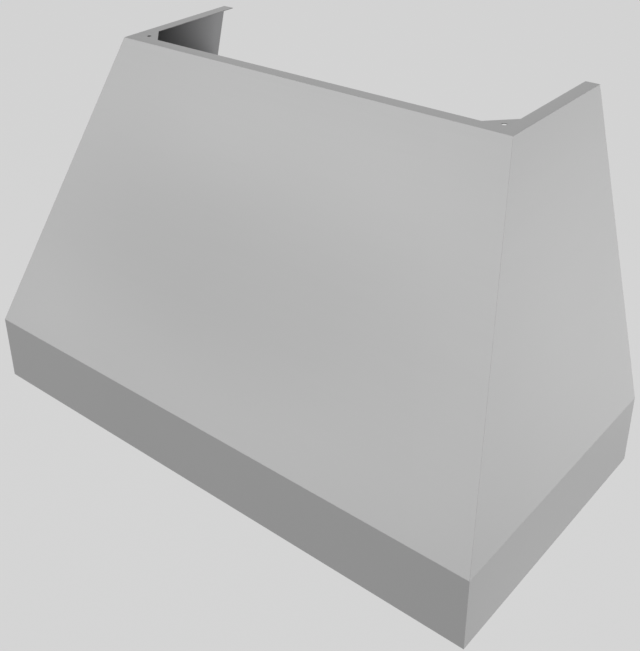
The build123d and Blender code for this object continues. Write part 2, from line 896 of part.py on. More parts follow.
def make_motor_body():
    """The motor's shell: a drum with two end bells and bearing bosses, hollow for the stator."""
    y = -wheel_depth
    drum = rod(motor_diameter, -motor_half, motor_half, y, wheel_z)
    bell_end = motor_half + motor_bell
    profile = [(0, motor_half), (motor_diameter / 2, motor_half), (motor_boss / 2, bell_end), (0, bell_end)]
    face = make_face(Polyline(*[(r, 0, x) for r, x in profile], close=True))
    bell = Pos(0, y, wheel_z) * Rot(0, 90, 0) * revolve(face, Axis.Z, 360)
    inner_half = motor_half - motor_wall
    room = rod(motor_diameter - 2 * motor_wall, -inner_half, inner_half, y, wheel_z)
    pockets = rod(bearing_diameter, bell_end - bearing_width, bell_end + overshoot, y, wheel_z)
    way = rod(bearing_diameter - 2 * motor_wall, -bell_end - overshoot, bell_end + overshoot, y, wheel_z)
    low = wheel_z - terminal_height
    gland = rod_y(terminal_diameter, terminal_x, y, y + terminal_reach, low)
    drum = drum + both_sides(bell) + gland
    return drum - room - both_sides(pockets) - way


def make_motor_bearings():
    end = motor_half + motor_bell
    bearing = rod(bearing_diameter, end - bearing_width, end, -wheel_depth, wheel_z)
    bore = shaft_diameter + 2 * shaft_clearance
    bearing -= rod(bore, end - 2 * bearing_width, end + overshoot, -wheel_depth, wheel_z)
    return group(both_sides(bearing))


def make_motor_bracket():
    """The strap round the motor, hung from the blower box's top by two legs."""
    outer = motor_diameter + 2 * strap_sheet
    strap = rod(outer, -strap_half, strap_half, -wheel_depth, wheel_z)
    legs = []
    foot_low = scroll_top - strap_sheet
    for way in (-1, 1):
        y0 = -wheel_depth + way * strap_leg
        y1 = y0 + way * strap_sheet
        foot = y0 + way * strap_foot
        legs.append(block(-strap_half, strap_half, min(y0, y1), max(y0, y1), wheel_z, scroll_top))
        legs.append(block(-strap_half, strap_half, min(y0, foot), max(y0, foot), foot_low, scroll_top))
    bore = rod(motor_diameter, -strap_half - overshoot, strap_half + overshoot, -wheel_depth, wheel_z)
    return strap + legs - bore


def make_blower_walls():
    """Four walls, open below, with a foot on the plenum and a flange turned in under the lid."""
    wall = thin_sheet
    under = plenum_top - overshoot
    top = box_top - wall
    inset = box_flange
    outer = block(-box_half, box_half, -box_front, -box_rear, plenum_top, top)
    room = block(wall - box_half, box_half - wall, wall - box_front, -box_rear - wall, under, top - wall)
    mouth = block(inset - box_half, box_half - inset, inset - box_front, -box_rear - inset, under, top + overshoot)
    x = box_half + box_flange
    foot = block(-x, x, -box_front - box_flange, -box_rear, plenum_top, plenum_top + wall)
    lead_hole = lead_diameter + 2 * lead_clearance
    lead = rod(lead_hole, box_half - overshoot, box_half + overshoot, lead_y(), supply_z)
    return outer + foot - room - mouth - lead - screw_holes(box_screws() + lid_screws() + outlet_box_screws())


def make_blower_lid():
    """A flat lid with an outlet over each scroll."""
    wall = thin_sheet
    lid = block(-box_half, box_half, -box_front, -box_rear, box_top - wall, box_top)
    outlet = block(
        scroll_inner_x + wall, outlet_half - wall, wall - outlet_front, -outlet_rear - wall,
        box_top - overshoot, box_top + overshoot,
    )
    return lid - both_sides(outlet) - screw_holes(lid_screws() + outlet_box_screws() + scroll_screws())


def make_blower_box():
    """The box round the blower: its walls and its lid."""
    return group([make_blower_walls(), make_blower_lid()])


def make_run_capacitor():
    x = -box_half - clip_sheet - capacitor_diameter / 2
    y = -capacitor_y
    top = capacitor_z + capacitor_height
    can = post(capacitor_diameter, x, y, capacitor_z, top)
    for middle in (x - tag_spacing / 2, x + tag_spacing / 2):
        x0 = middle - tag_sheet / 2
        can += block(x0, x0 + tag_sheet, y - tag_width / 2, y + tag_width / 2, top, top + tag_height)
    return can


def make_capacitor_clip():
    """A band round the capacitor with a back plate on the blower box."""
    x = -box_half - clip_sheet - capacitor_diameter / 2
    z0 = capacitor_z + clip_height / 2
    z1 = z0 + clip_height
    band = ring(capacitor_diameter + 2 * clip_sheet, capacitor_diameter, x, -capacitor_y, z0, z1)
    y = capacitor_diameter / 2 + clip_foot
    back = block(-box_half - clip_sheet, -box_half, -capacitor_y - y, y - capacitor_y, z0, z1)
    back = back - post(capacitor_diameter, x, -capacitor_y, z0 - overshoot, z1 + overshoot)
    band = band & block(x - capacitor_diameter, -box_half, -capacitor_y - y, y - capacitor_y, z0, z1)
    return band + back


# Outlet box, collar and damper

def outlet_box_corners():
    reach = duct_diameter / 2 + outlet_margin
    return outlet_half + outlet_side, -duct_depth - reach, reach - duct_depth


def make_outlet_box():
    """The box that gathers both scrolls' air under the round collar."""
    x, y0, y1 = outlet_box_corners()
    wall = thin_sheet
    outer = block(-x, x, y0, y1, box_top, outlet_box_top)
    room = block(wall - x, x - wall, y0 + wall, y1 - wall, box_top - overshoot, outlet_box_top - wall)
    wide = x + 2 * screw_inset
    foot = block(-wide, wide, y0 - 2 * screw_inset, y1, box_top, box_top + wall)
    mouth = post(duct_diameter - 2 * wall, 0, -duct_depth, box_top, outlet_box_top + overshoot)
    return outer + foot - room - mouth - screw_holes(outlet_box_screws() + collar_screws())


def make_duct_collar():
    """The collar that the duct slides over, with a stop for the damper inside it."""
    inner = duct_diameter - 2 * thin_sheet
    tube_wall = ring(duct_diameter, inner, 0, -duct_depth, outlet_box_top, collar_top)
    flange_diameter = duct_diameter + 2 * collar_flange
    flange = ring(flange_diameter, inner, 0, -duct_depth, outlet_box_top, outlet_box_top + sheet)
    bead_top = damper_z - damper_sheet / 2 - seat_gap
    bead = ring(inner + thin_sheet, inner - 2 * damper_bead, 0, -duct_depth, bead_top - sheet, bead_top)
    reach = duct_diameter / 2
    gap = block(-reach, reach, -damper_bead_gap, damper_bead_gap, outlet_box_top, collar_top)
    bead = bead - Pos(0, -duct_depth, 0) * gap
    hole = rod(damper_pin + 2 * press_clearance, -duct_diameter, duct_diameter, -duct_depth, damper_z)
    return tube_wall + flange + bead - hole - screw_holes(collar_screws())


def make_damper_flap(way):
    """Half of the damper: way 1 is the rear flap, -1 the front one. Their barrels alternate on the pin."""
    radius = duct_diameter / 2 - thin_sheet - damper_play
    z0 = damper_z - damper_sheet / 2
    z1 = damper_z + damper_sheet / 2
    disc = post(2 * radius, 0, -duct_depth, z0, z1)
    y0 = -duct_depth + way * damper_root
    y1 = -duct_depth + way * duct_diameter
    flap = disc & block(-duct_diameter, duct_diameter, min(y0, y1), max(y0, y1), z0, z1)
    step = 2 * radius / damper_barrels
    root = -duct_depth + way * (damper_barrel / 2 - damper_sheet)
    joined = y0 + way * damper_sheet
    for n in range(0 if way > 0 else 1, damper_barrels, 2):
        x0 = n * step - radius + damper_barrel_gap / 2
        x1 = x0 + step - damper_barrel_gap
        flap += block(x0, x1, min(root, joined), max(root, joined), z0, z1)
        flap += rod(damper_barrel, x0, x1, -duct_depth, damper_z)
    bore = damper_pin + 2 * pin_clearance
    return flap - rod(bore, -duct_diameter, duct_diameter, -duct_depth, damper_z)


# Lamps

def make_lamp_bezels():
    """Each lamp's ring under the deck, with a neck through it and a seat for the lens."""
    shapes = []
    low = liner_recess - bezel_thickness
    top = liner_recess + bezel_neck
    for x in lamp_xs:
        plate = post(bezel_diameter, x, lamp_y, low, liner_recess)
        neck = post(lamp_hole - 2 * press_clearance - seat_gap, x, lamp_y, liner_recess, top)
        seat = post(lens_diameter + 2 * press_clearance, x, lamp_y, liner_recess, top + overshoot)
        window = post(lens_diameter - 2 * bezel_lip, x, lamp_y, low - overshoot, liner_recess + overshoot)
        shapes.append(plate + neck - seat - window)
    return group(shapes)


def make_lamp_lenses():
    top = liner_recess + lens_thickness
    return group([post(lens_diameter, x, lamp_y, liner_recess, top) for x in lamp_xs])


def make_lamp_cans():
    """Each lamp's can on top of the deck, with a flat gland face on both sides for its leads."""
    shapes = []
    for x in lamp_xs:
        top = deck_top + can_height
        flange = post(can_diameter + 2 * can_flange, x, lamp_y, deck_top, deck_top + thin_sheet)
        can = post(can_diameter, x, lamp_y, deck_top, top)
        reach = can_diameter / 2 + gland_reach
        gland = rod(gland_diameter, x - reach, x + reach, lamp_y, deck_top + gland_height)
        room = post(can_diameter - 2 * can_wall, x, lamp_y, deck_top - overshoot, top - can_wall)
        shapes.append(flange + can + gland - room)
    return group(shapes)


def make_led_modules():
    """Each lamp's board of diodes under a finned heat sink, hung from the can's top."""
    shapes = []
    for x in lamp_xs:
        top = deck_top + can_height - can_wall
        board_top = liner_recess + bezel_neck + seat_gap + module_board
        board = post(module_diameter, x, lamp_y, board_top - module_board, board_top)
        sink = post(module_sink, x, lamp_y, board_top, top)
        slots = []
        for n in range(1, module_fins):
            x0 = x - module_sink / 2 + n * module_sink / module_fins - module_slot / 2
            y0 = lamp_y - module_sink
            y1 = lamp_y + module_sink
            slots.append(block(x0, x0 + module_slot, y0, y1, board_top + module_board, top - module_board))
        shapes.append(board + sink - slots)
    return group(shapes)


# Controls

def make_control_panel():
    x = panel_width / 2
    y = panel_depth / 2
    plate = block(-x, x, lamp_y - y, lamp_y + y, liner_recess - panel_sheet, liner_recess)
    plate = fillet(plate.edges().filter_by(Axis.Z), panel_corner)
    hole = bush_diameter + 2 * bush_clearance
    under = liner_recess - overshoot
    over = liner_recess + overshoot
    return plate - [post(hole, side, lamp_y, under, over) for side in (-knob_x, knob_x)]


def make_knob(x):
    """A gripped knob under the deck, with a pointer groove and a hollow for the bush and nut."""
    top = liner_recess - panel_sheet - knob_gap
    low = top - knob_height
    radius = knob_diameter / 2
    body = Pos(x, lamp_y, (top + low) / 2) * Rot(180, 0, 0) * Cone(radius, radius - knob_taper, knob_height)
    grips = []
    for n in range(knob_grips):
        angle = 2 * math.pi * (n + 0.5) / knob_grips
        grip_x = x + radius * math.cos(angle)
        grip_y = lamp_y + radius * math.sin(angle)
        grips.append(post(grip_diameter, grip_x, grip_y, low - overshoot, top - knob_hollow_depth))
    hollow = post(knob_hollow, x, lamp_y, top - knob_hollow_depth, top + overshoot)
    bore = post(knob_shaft, x, lamp_y, top - knob_shaft_depth, top)
    groove_x = x - pointer_width / 2
    groove = block(groove_x, groove_x + pointer_width, lamp_y - radius, lamp_y, low - overshoot, low + sheet)
    return body - grips - hollow - bore - groove


def make_knob_shaft(x):
    top = liner_recess - panel_sheet - knob_gap
    return post(knob_shaft, x, lamp_y, top - knob_shaft_depth, deck_top + switch_height / 2)


def make_rotary_switches():
    """A switch on the deck above each knob, with a bush through the deck and the panel."""
    shapes = []
    bush_low = liner_recess - panel_sheet - bush_drop
    bore_top = deck_top + switch_height / 2 + seat_gap
    half = switch_width / 2
    for x in (-knob_x, knob_x):
        body = block(x - half, x + half, lamp_y - half, lamp_y + half, deck_top, deck_top + switch_height)
        bush = post(bush_diameter, x, lamp_y, bush_low, deck_top)
        bore = post(knob_shaft + 2 * shaft_clearance, x, lamp_y, bush_low - overshoot, bore_top)
        shapes.append(body + bush - bore)
    return group(shapes)


# Supply box, lamp driver and leads

def junction_corners():
    x0 = supply_x - junction_width / 2
    y1 = -sheet - seat_gap
    z0 = supply_z - junction_height / 2
    return x0, x0 + junction_width, y1 - junction_depth, y1, z0, z0 + junction_height


def lead_y():
    return -sheet - seat_gap - junction_depth / 2


def make_junction_box():
    x0, x1, y0, y1, z0, z1 = junction_corners()
    outer = block(x0, x1, y0, y1, z0, z1)
    room = block(x0 + sheet, x1 - sheet, y0 - overshoot, y1 - sheet, z0 + sheet, z1 - sheet)
    knockout = rod_y(supply_hole + 2 * knockout_clearance, supply_x, y1 - overshoot, y1 + overshoot, supply_z)
    lead = lead_diameter + 2 * lead_clearance
    ways = rod(lead, x0 - overshoot, x1 + overshoot, lead_y(), supply_z)
    return outer - room - knockout - ways


def make_junction_cover():
    """The front cover of the supply box, with a lip that fits inside it."""
    x0, x1, y0, y1, z0, z1 = junction_corners()
    plate = block(x0, x1, y0 - sheet, y0, z0, z1)
    lip_y = y0 + screw_inset
    outer = sheet + seat_gap
    inner = outer + sheet
    lip = block(x0 + outer, x1 - outer, y0, lip_y, z0 + outer, z1 - outer)
    hollow = block(x0 + inner, x1 - inner, y0, lip_y, z0 + inner, z1 - inner)
    return plate + (lip - hollow)


def make_terminal_block():
    """A block on the floor of the supply box, with a screw well for each wire and slots between them."""
    x0, x1, y0, y1, z0, z1 = junction_corners()
    low = z0 + sheet
    top = low + block_height
    cut_low = low + block_height / 2
    cut_top = top + overshoot
    middle = (y0 + y1) / 2
    left = supply_x - block_width / 2
    pitch = block_width / block_ways
    front = middle - block_depth / 2
    body = block(left, left + block_width, front, front + block_depth, low, top)
    for n in range(block_ways):
        body -= post(block_screw, left + (n + 0.5) * pitch, middle, cut_low, cut_top)
    for n in range(1, block_ways):
        slot = left + n * pitch - block_slot / 2
        body -= block(slot, slot + block_slot, y0, y1, cut_low, cut_top)
    return body


def make_led_driver():
    x = driver_width / 2
    y = driver_depth / 2
    top = plenum_top + driver_height
    case = block(-outer_lamp_x - x, x - outer_lamp_x, -driver_y - y, y - driver_y, plenum_top, top)
    return fillet(case.edges().filter_by(Axis.Z), driver_corner)


def make_motor_lead():
    """From the supply box, through the blower box's side, to the motor's gland."""
    x0 = junction_corners()[0]
    end = -wheel_depth + terminal_reach
    low = wheel_z - terminal_height
    points = [
        (x0 + sheet, lead_y(), supply_z), (terminal_x, lead_y(), supply_z),
        (terminal_x, (lead_y() + end) / 2 - lead_bend / 2, low), (terminal_x, end, low),
    ]
    return tube(points, lead_diameter, lead_bend)


def make_control_lead():
    """From the supply box down inside the right side, round the front corner and down to the fan switch."""
    x0, x1, y0, y1, z0, z1 = junction_corners()
    side = hood_width / 2 - lead_side
    front = lead_front - hood_depth
    top = deck_top + switch_height
    points = [
        (x1 - sheet, lead_y(), supply_z), (side - lead_shift, lead_y(), supply_z),
        (side, lead_y() - lead_shift, lead_height), (side, front, lead_height),
        (knob_x, front, lead_height), (knob_x, lamp_y, lead_height), (knob_x, lamp_y, top),
    ]
    bends = [lead_bend, lead_bend, lead_bend, lead_bend, lead_end_bend]
    return tube(points, lead_diameter, bends)


def make_loop_leads():
    """The thin leads: switch to switch, driver to the first lamp, then lamp to lamp."""
    z = deck_top + gland_height
    reach = can_diameter / 2 + gland_reach
    switch_x = knob_x - switch_width / 2
    switch_z = deck_top + switch_height / 2
    leads = [tube([(switch_x, lamp_y, switch_z), (-switch_x, lamp_y, switch_z)], loop_diameter, 0)]
    for a, b in zip(lamp_xs, lamp_xs[1:]):
        if a * b > 0:
            leads.append(tube([(a + reach, lamp_y, z), (b - reach, lamp_y, z)], loop_diameter, 0))
    front = lamp_y - loop_front
    inner = lamp_x - reach
    turn = inner - 2 * lead_bend
    leads.append(tube(
        [(-inner, lamp_y, z), (-turn, lamp_y, z), (-turn + loop_front, front, z),
         (turn - loop_front, front, z), (turn, lamp_y, z), (inner, lamp_y, z)],
        loop_diameter, lead_bend,
    ))
    x = -outer_lamp_x
    driver_front = -driver_y - driver_depth / 2
    low = plenum_top + driver_height / 2
    leads.append(tube(
        [(x, driver_front, low), (x, lamp_y, low), (x, lamp_y, deck_top + can_height)],
        loop_diameter, lead_bend,
    ))
    return group(leads)


def make_clips():
    """The capacitor's clip, and blocks on the inside of the band that hold the control lead."""
    side = hood_width / 2 - lead_side
    front = lead_front - hood_depth
    outer = lead_diameter / 2 + clip_wall
    bore = lead_diameter + 2 * press_clearance
    half = clip_width / 2
    low = lead_height - outer
    high = lead_height + outer
    shapes = [make_capacitor_clip()]
    for y in (-hood_depth / 4, -hood_depth / 2, -hood_depth * 3 / 4):
        seat = block(side - outer, hood_width / 2 - sheet, y - half, y + half, low, high)
        shapes.append(seat - rod_y(bore, side, y - clip_width, y + clip_width, lead_height))
    for x in (lamp_x, outer_lamp_x):
        seat = block(x - half, x + half, sheet - hood_depth, front + outer, low, high)
        shapes.append(seat - rod(bore, x - clip_width, x + clip_width, front, lead_height))
    return group(shapes)


# Every sub-part by name

def make_parts():
    front_panel = make_front_panel()
    right_side_panel = make_side_panel(front_panel)
    right_scroll = make_scroll()
    right_wheel = make_blower_wheel()
    parts = {
        "front_panel": front_panel,
        "right_side_panel": right_side_panel,
        "left_side_panel": mirror(right_side_panel, Plane.YZ),
        "top_gussets": group(both_sides(make_top_gusset())),
        "hanging_rail": make_hanging_rail(),
        "rear_panel": make_rear_panel(),
        "liner_deck": make_liner_deck(),
        "weld_studs": make_weld_studs(),
        "nuts": make_nuts(),
        "panel_screws": make_panel_screws(),
        "filter_catches": make_filter_catches(),
        "filter_hinge_rail": make_filter_hinge_rail(),
        "hinge_pins": make_hinge_pins(),
        "grease_trough": make_grease_trough(),
        "grease_cup": make_grease_cup(),
        "plenum": make_plenum(),
        "blower_box": make_blower_box(),
        "right_scroll": right_scroll,
        "left_scroll": mirror(right_scroll, Plane.YZ),
        "inlet_rings": make_inlet_rings(),
        "right_blower_wheel": right_wheel,
        "left_blower_wheel": mirror(right_wheel, Plane.YZ),
        "motor_shaft": make_motor_shaft(),
        "motor_rotor": make_motor_rotor(),
        "motor_stator": make_motor_stator(),
        "motor_body": make_motor_body(),
        "motor_bearings": make_motor_bearings(),
        "motor_bracket": make_motor_bracket(),
        "run_capacitor": make_run_capacitor(),
        "outlet_box": make_outlet_box(),
        "duct_collar": make_duct_collar(),
        "rear_damper_flap": make_damper_flap(1),
        "front_damper_flap": make_damper_flap(-1),
        "lamp_bezels": make_lamp_bezels(),
        "lamp_lenses": make_lamp_lenses(),
        "lamp_cans": make_lamp_cans(),
        "led_modules": make_led_modules(),
        "control_panel": make_control_panel(),
        "fan_knob": make_knob(knob_x),
        "light_knob": make_knob(-knob_x),
        "fan_knob_shaft": make_knob_shaft(knob_x),
        "light_knob_shaft": make_knob_shaft(-knob_x),
        "rotary_switches": make_rotary_switches(),
        "junction_box": make_junction_box(),
        "junction_cover": make_junction_cover(),
        "terminal_block": make_terminal_block(),
        "led_driver": make_led_driver(),
        "motor_lead": make_motor_lead(),
        "control_lead": make_control_lead(),
        "loop_leads": make_loop_leads(),
        "clips": make_clips(),
    }
    for number, x in enumerate(filter_xs, start=1):
        parts[f"filter_frame_{number}"] = make_filter_frame(x)
        parts[f"filter_baffles_{number}"] = make_filter_baffles(x)
        parts[f"filter_pull_{number}"] = make_filter_pull(x)
    return parts


os.makedirs("parts", exist_ok=True)
for name, shape in make_parts().items():
    export_step(shape, f"parts/{name}.step")
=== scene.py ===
import json
import math
from typing import NamedTuple

import bmesh
import bpy
from bpy.props import FloatProperty, FloatVectorProperty, PointerProperty
from mathutils import Matrix, Vector


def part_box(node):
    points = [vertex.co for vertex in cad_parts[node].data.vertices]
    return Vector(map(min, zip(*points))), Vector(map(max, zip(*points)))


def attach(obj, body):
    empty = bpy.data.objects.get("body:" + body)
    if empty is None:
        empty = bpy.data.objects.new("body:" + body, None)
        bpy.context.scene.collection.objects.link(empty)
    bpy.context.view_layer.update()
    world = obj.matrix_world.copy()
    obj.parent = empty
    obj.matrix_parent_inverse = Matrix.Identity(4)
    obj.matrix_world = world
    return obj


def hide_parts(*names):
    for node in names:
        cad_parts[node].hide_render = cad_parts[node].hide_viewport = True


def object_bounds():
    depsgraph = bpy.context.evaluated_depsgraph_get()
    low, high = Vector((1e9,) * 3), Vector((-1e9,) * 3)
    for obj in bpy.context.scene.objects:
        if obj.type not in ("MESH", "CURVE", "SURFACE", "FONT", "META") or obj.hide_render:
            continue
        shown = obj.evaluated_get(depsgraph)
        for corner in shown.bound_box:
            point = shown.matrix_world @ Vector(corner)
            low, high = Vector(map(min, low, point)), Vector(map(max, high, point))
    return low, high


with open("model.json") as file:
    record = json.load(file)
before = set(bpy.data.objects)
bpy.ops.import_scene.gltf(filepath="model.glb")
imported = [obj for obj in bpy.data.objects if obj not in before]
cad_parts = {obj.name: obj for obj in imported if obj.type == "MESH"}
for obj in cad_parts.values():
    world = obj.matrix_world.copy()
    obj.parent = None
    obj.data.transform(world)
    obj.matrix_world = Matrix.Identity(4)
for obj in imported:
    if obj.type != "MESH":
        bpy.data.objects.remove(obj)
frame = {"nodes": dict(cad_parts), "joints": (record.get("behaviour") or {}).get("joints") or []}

cad_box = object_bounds()

bl_info = {
    "name": "Wall Hood",
    "version": (1, 0, 0),
    "blender": (4, 5, 0),
    "location": "3D View > Sidebar > Hood",
    "description": "Dresses a wall-mount range hood: its sheet metal, filters, blower, lamps and controls",
    "category": "Object",
}


# Sizes, colours and lights that a user would change

def amount(name, description, default):
    return FloatProperty(name=name, description=description, default=default)


def length(name, description, default):
    return FloatProperty(
        name=name, description=description, default=default, unit="LENGTH", precision=5,
    )


def angle(name, description, degrees):
    return FloatProperty(
        name=name, description=description, default=math.radians(degrees), unit="ROTATION",
    )


def share(name, description, default):
    return FloatProperty(
        name=name, description=description, default=default, min=0.0, max=1.0, subtype="FACTOR",
    )


def position(name, description, default):
    return FloatVectorProperty(
        name=name, description=description, default=default, size=3, subtype="TRANSLATION", precision=5,
    )


def colour(name, description, default):
    return FloatVectorProperty(
        name=name, description=description, default=default, size=3, min=0.0, max=1.0, subtype="COLOR",
    )


class HoodSizes(bpy.types.PropertyGroup):
    """Sizes of what is made here round the frame."""

    band_height: length("Band height", "Height of the upright band below the slope", 0.1524)
    top_width: length("Top width", "Width of the open top, outside", 0.9144)
    top_depth: length("Top depth", "Depth of the open top, outside", 0.3048)
    top_flange: length("Top flange", "Width of the flange round the open top", 0.0275)
    return_flange: length("Return flange", "Width of the flange under the band", 0.025)
    sheet: length("Sheet", "Thickness of the canopy's sheet", 0.0012)
    bend: length("Bend", "Outside radius of the canopy's folds", 0.00025)
    sheet_edge: length("Sheet edge", "Rounding of cut and folded edges of the inner pieces", 0.0003)
    filter_slope: angle("Filter slope", "How far the filters lean up from level", 15)
    filter_border: length("Filter border", "Width of the filter frames' border", 0.016)
    filter_height: length("Filter height", "Thickness of the filter frames", 0.014)
    rivet: length("Rivet", "Diameter of the filter frames' rivets", 0.005)
    rivet_height: length("Rivet height", "How far the rivets stand out", 0.0011)
    inner_lamp: length("Inner lamp", "From the middle of the hood to its inner lamps", 0.240)
    board: length("Board", "Diameter of the white boards under the heat sinks", 0.059)
    board_sheet: length("Board sheet", "Thickness of those boards", 0.0002)
    diode: length("Diode", "Side of the lamps' diodes", 0.0034)
    diode_corner: length("Diode corner", "Rounding of the diodes' corners", 0.0008)
    diode_height: length("Diode height", "How far the diodes stand out of their board", 0.0009)
    inner_ring: length("Inner ring", "Radius of the inner ring of diodes", 0.009)
    outer_ring: length("Outer ring", "Radius of the outer ring of diodes", 0.019)
    dial_radius: length("Dial radius", "From a knob's axis to its numbers", 0.0315)
    dial_height: length("Dial height", "Height of the numbers beside the knobs", 0.0066)
    tick_radius: length("Tick radius", "From a knob's axis to the marks beside it", 0.0250)
    tick: length("Tick", "Length of the marks beside the knobs", 0.0030)
    line: length("Line", "Width of the marks beside the knobs", 0.0007)
    ink: length("Ink", "Thickness of the printed marks", 0.00008)
    pointer: length("Pointer", "Width of the paint in the knobs' grooves", 0.0022)
    pointer_coat: length("Pointer coat", "Thickness of that paint", 0.0007)
    pointer_depth: length("Pointer depth", "How far the paint lies under the knob's face", 0.0003)
    pointer_end: length("Pointer end", "From the end of the paint to the knob's rim", 0.0028)


class HoodColours(bpy.types.PropertyGroup):
    """Base colours of the finishes."""

    satin_steel: colour("Satin steel", "Brushed stainless sheet", (0.430, 0.430, 0.430))
    # Dark partly as unpolished sheet and partly as painted shade for the inside of the canopy
    dull_steel: colour("Dull steel and shade", "The canopy's unpolished inner side", (0.225, 0.225, 0.228))
    galvanised: colour("Galvanised", "Zinc-coated inner sheet", (0.40, 0.415, 0.425))
    bright_zinc: colour("Bright zinc", "Plated screws, nuts and pins", (0.55, 0.56, 0.58))
    spring_steel: colour("Spring steel", "Filter catches", (0.20, 0.205, 0.215))
    aluminium: colour("Aluminium", "Damper flaps and heat sinks", (0.60, 0.605, 0.61))
    enamel: colour("Enamel", "The motor's black enamel", (0.022, 0.022, 0.025))
    machined: colour("Machined steel", "Shafts, bearings and laminations", (0.42, 0.42, 0.43))
    chrome: colour("Chrome", "Lamp bezels", (0.62, 0.62, 0.635))
    glass: colour("Glass", "Frosted lamp lenses", (0.90, 0.92, 0.93))
    dark_plastic: colour("Dark plastic", "Switches and terminals", (0.028, 0.028, 0.030))
    pale_plastic: colour("Pale plastic", "Driver case and capacitor", (0.62, 0.62, 0.60))
    sheath: colour("Sheath", "Lead sheaths", (0.075, 0.076, 0.080))
    ink: colour("Ink", "Numbers and marks of the dials", (0.012, 0.012, 0.013))
    phosphor: colour("Phosphor", "The lamps' diodes", (0.85, 0.62, 0.12))
    board: colour("Board", "Boards of the lamps' diodes", (0.80, 0.80, 0.78))


class HoodStage(bpy.types.PropertyGroup):
    """The floor, the light and the camera."""

    background: share("Background", "Brightness of the floor and the world", 0.651)
    floor_drop: length("Floor drop", "How far the floor lies below the hood", 1.65)
    floor_size: length("Floor size", "Side of the floor", 80.0)
    shadow: share("Shadow", "How much of the object's shadow the floor shows", 0.1)
    front_lamp: amount("Front lamp", "Brightness of the lamp on the left in front", 0.945)
    side_lamp: amount("Side lamp", "Brightness of the lamp on the right", 0.87)
    low_lamp: amount("Low lamp", "Brightness of the low lamp on the right", 0.42)
    rear_lamp: amount("Rear lamp", "Brightness of the lamp on the left behind", 0.3)
    camera_place: position("Camera place", "Where the camera stands", (1.15251, -1.64604, 1.36428))
    camera_yaw: angle("Camera yaw", "How far the camera looks to the right of +Y", -42.290)
    camera_pitch: angle("Camera pitch", "How far the camera looks below level", 27.941)
    camera_roll: angle("Camera roll", "How far the picture leans", -1.928)
    lens: amount("Lens", "Focal length for a 36 mm long side", 55.62)
    shift_x: amount("Shift X", "How far the picture's middle lies to the right of the view", 0.0794)
    shift_y: amount("Shift Y", "How far the picture's middle lies above the view", -0.1286)


def sizes():
    return bpy.context.scene.hood_sizes


def colours():
    return bpy.context.scene.hood_colours


def stage_settings():
    return bpy.context.scene.hood_stage


# Meshes

BEND_SEGMENTS = 4
BEND_PROFILE = 0.5
EDGE_SEGMENTS = 2
DOME_SIDES = 16
DOME_RINGS = 4
ROUND_SIDES = 48
CORNER_STEPS = 4
# A font's size for numbers of height 1, and the steps in each of its curves
FONT_SCALE = 1.4
FONT_STEPS = 4
# Edges that turn further than this are rounded, once points nearer than the gap are joined
SHARP_FROM = math.radians(35)
WELD_GAP = 0.00001


def loft(shape, rows):
    """Faces between rows of points that have as many points each."""
    corners = [[shape.verts.new(point) for point in row] for row in rows]
    for low, high in zip(corners, corners[1:]):
        for n in range(len(low) - 1):
            shape.faces.new((low[n], low[n + 1], high[n + 1], high[n]))


def closed_loft(shape, place, rows):
    """A closed solid through rings of points, which are given in the axes of its place."""
    rings = [[shape.verts.new(place @ Vector(point)) for point in row] for row in rows]
    for low, high in zip(rings, rings[1:]):
        for n in range(len(low)):
            after = (n + 1) % len(low)
            shape.faces.new((low[n], low[after], high[after], high[n]))
    shape.faces.new(rings[0][::-1])
    shape.faces.new(rings[-1])


def ring(radius, sides):
    """The points of a circle."""
    turns = [2 * math.pi * n / sides for n in range(sides)]
    return [(radius * math.cos(t), radius * math.sin(t)) for t in turns]


def bar(width, height, corner):
    """The outline of a rectangle with round corners, about its middle."""
    points = []
    for quarter, (side, end) in enumerate(((1, 1), (-1, 1), (-1, -1), (1, -1))):
        for n in range(CORNER_STEPS + 1):
            t = math.pi / 2 * (quarter + n / CORNER_STEPS)
            x = side * (width / 2 - corner) + corner * math.cos(t)
            points.append((x, end * (height / 2 - corner) + corner * math.sin(t)))
    return points


def prism(shape, place, outline, thickness):
    """A flat plate of an outline, which stands out of its place along the place's +Z."""
    closed_loft(shape, place, [[(x, y, z) for x, y in outline] for z in (0, thickness)])


def dome(shape, place, diameter, height):
    """A low round head on a face, which stands out of its place along the place's +Z."""
    rows = []
    for n in range(DOME_RINGS):
        rise = n * math.pi / 2 / DOME_RINGS
        radius = diameter / 2 * math.cos(rise)
        rows.append([(x, y, height * math.sin(rise)) for x, y in ring(radius, DOME_SIDES)])
    closed_loft(shape, place, rows)


def facing_down(x, y, z):
    """A place on a lower face: +Z is down, and +Y to the front, as the face is read from below."""
    return Matrix.Translation((x, y, z)) @ Matrix.Rotation(math.pi, 4, "X")


def number_shape(shape, place, text):
    """A printed number about the middle of its place."""
    size = sizes()
    curve = bpy.data.curves.new("number", "FONT")
    curve.body = text
    curve.size = size.dial_height * FONT_SCALE
    curve.align_x = "CENTER"
    curve.align_y = "CENTER"
    curve.extrude = size.ink / 2
    curve.resolution_u = FONT_STEPS
    holder = bpy.data.objects.new("number", curve)
    mesh = bpy.data.meshes.new_from_object(holder)
    mesh.transform(place @ Matrix.Translation((0, 0, size.ink / 2)))
    shape.from_mesh(mesh)
    bpy.data.objects.remove(holder)
    bpy.data.curves.remove(curve)
    bpy.data.meshes.remove(mesh)


def new_object(name, shape, material, smooth=False):
    """An object of a bmesh, in the scene."""
    mesh = bpy.data.meshes.new(name)
    shape.to_mesh(mesh)
    shape.free()
    for polygon in mesh.polygons:
        polygon.use_smooth = smooth
    mesh.materials.append(material)
    made = bpy.data.objects.new(name, mesh)
    bpy.context.scene.collection.objects.link(made)
    return made


def piece(name, shape, body, finish_name, smooth=False):
    """An object of a bmesh that rides on a body of the frame."""
    made = new_object(name, shape, finish(finish_name), smooth)
    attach(made, body)
    return made


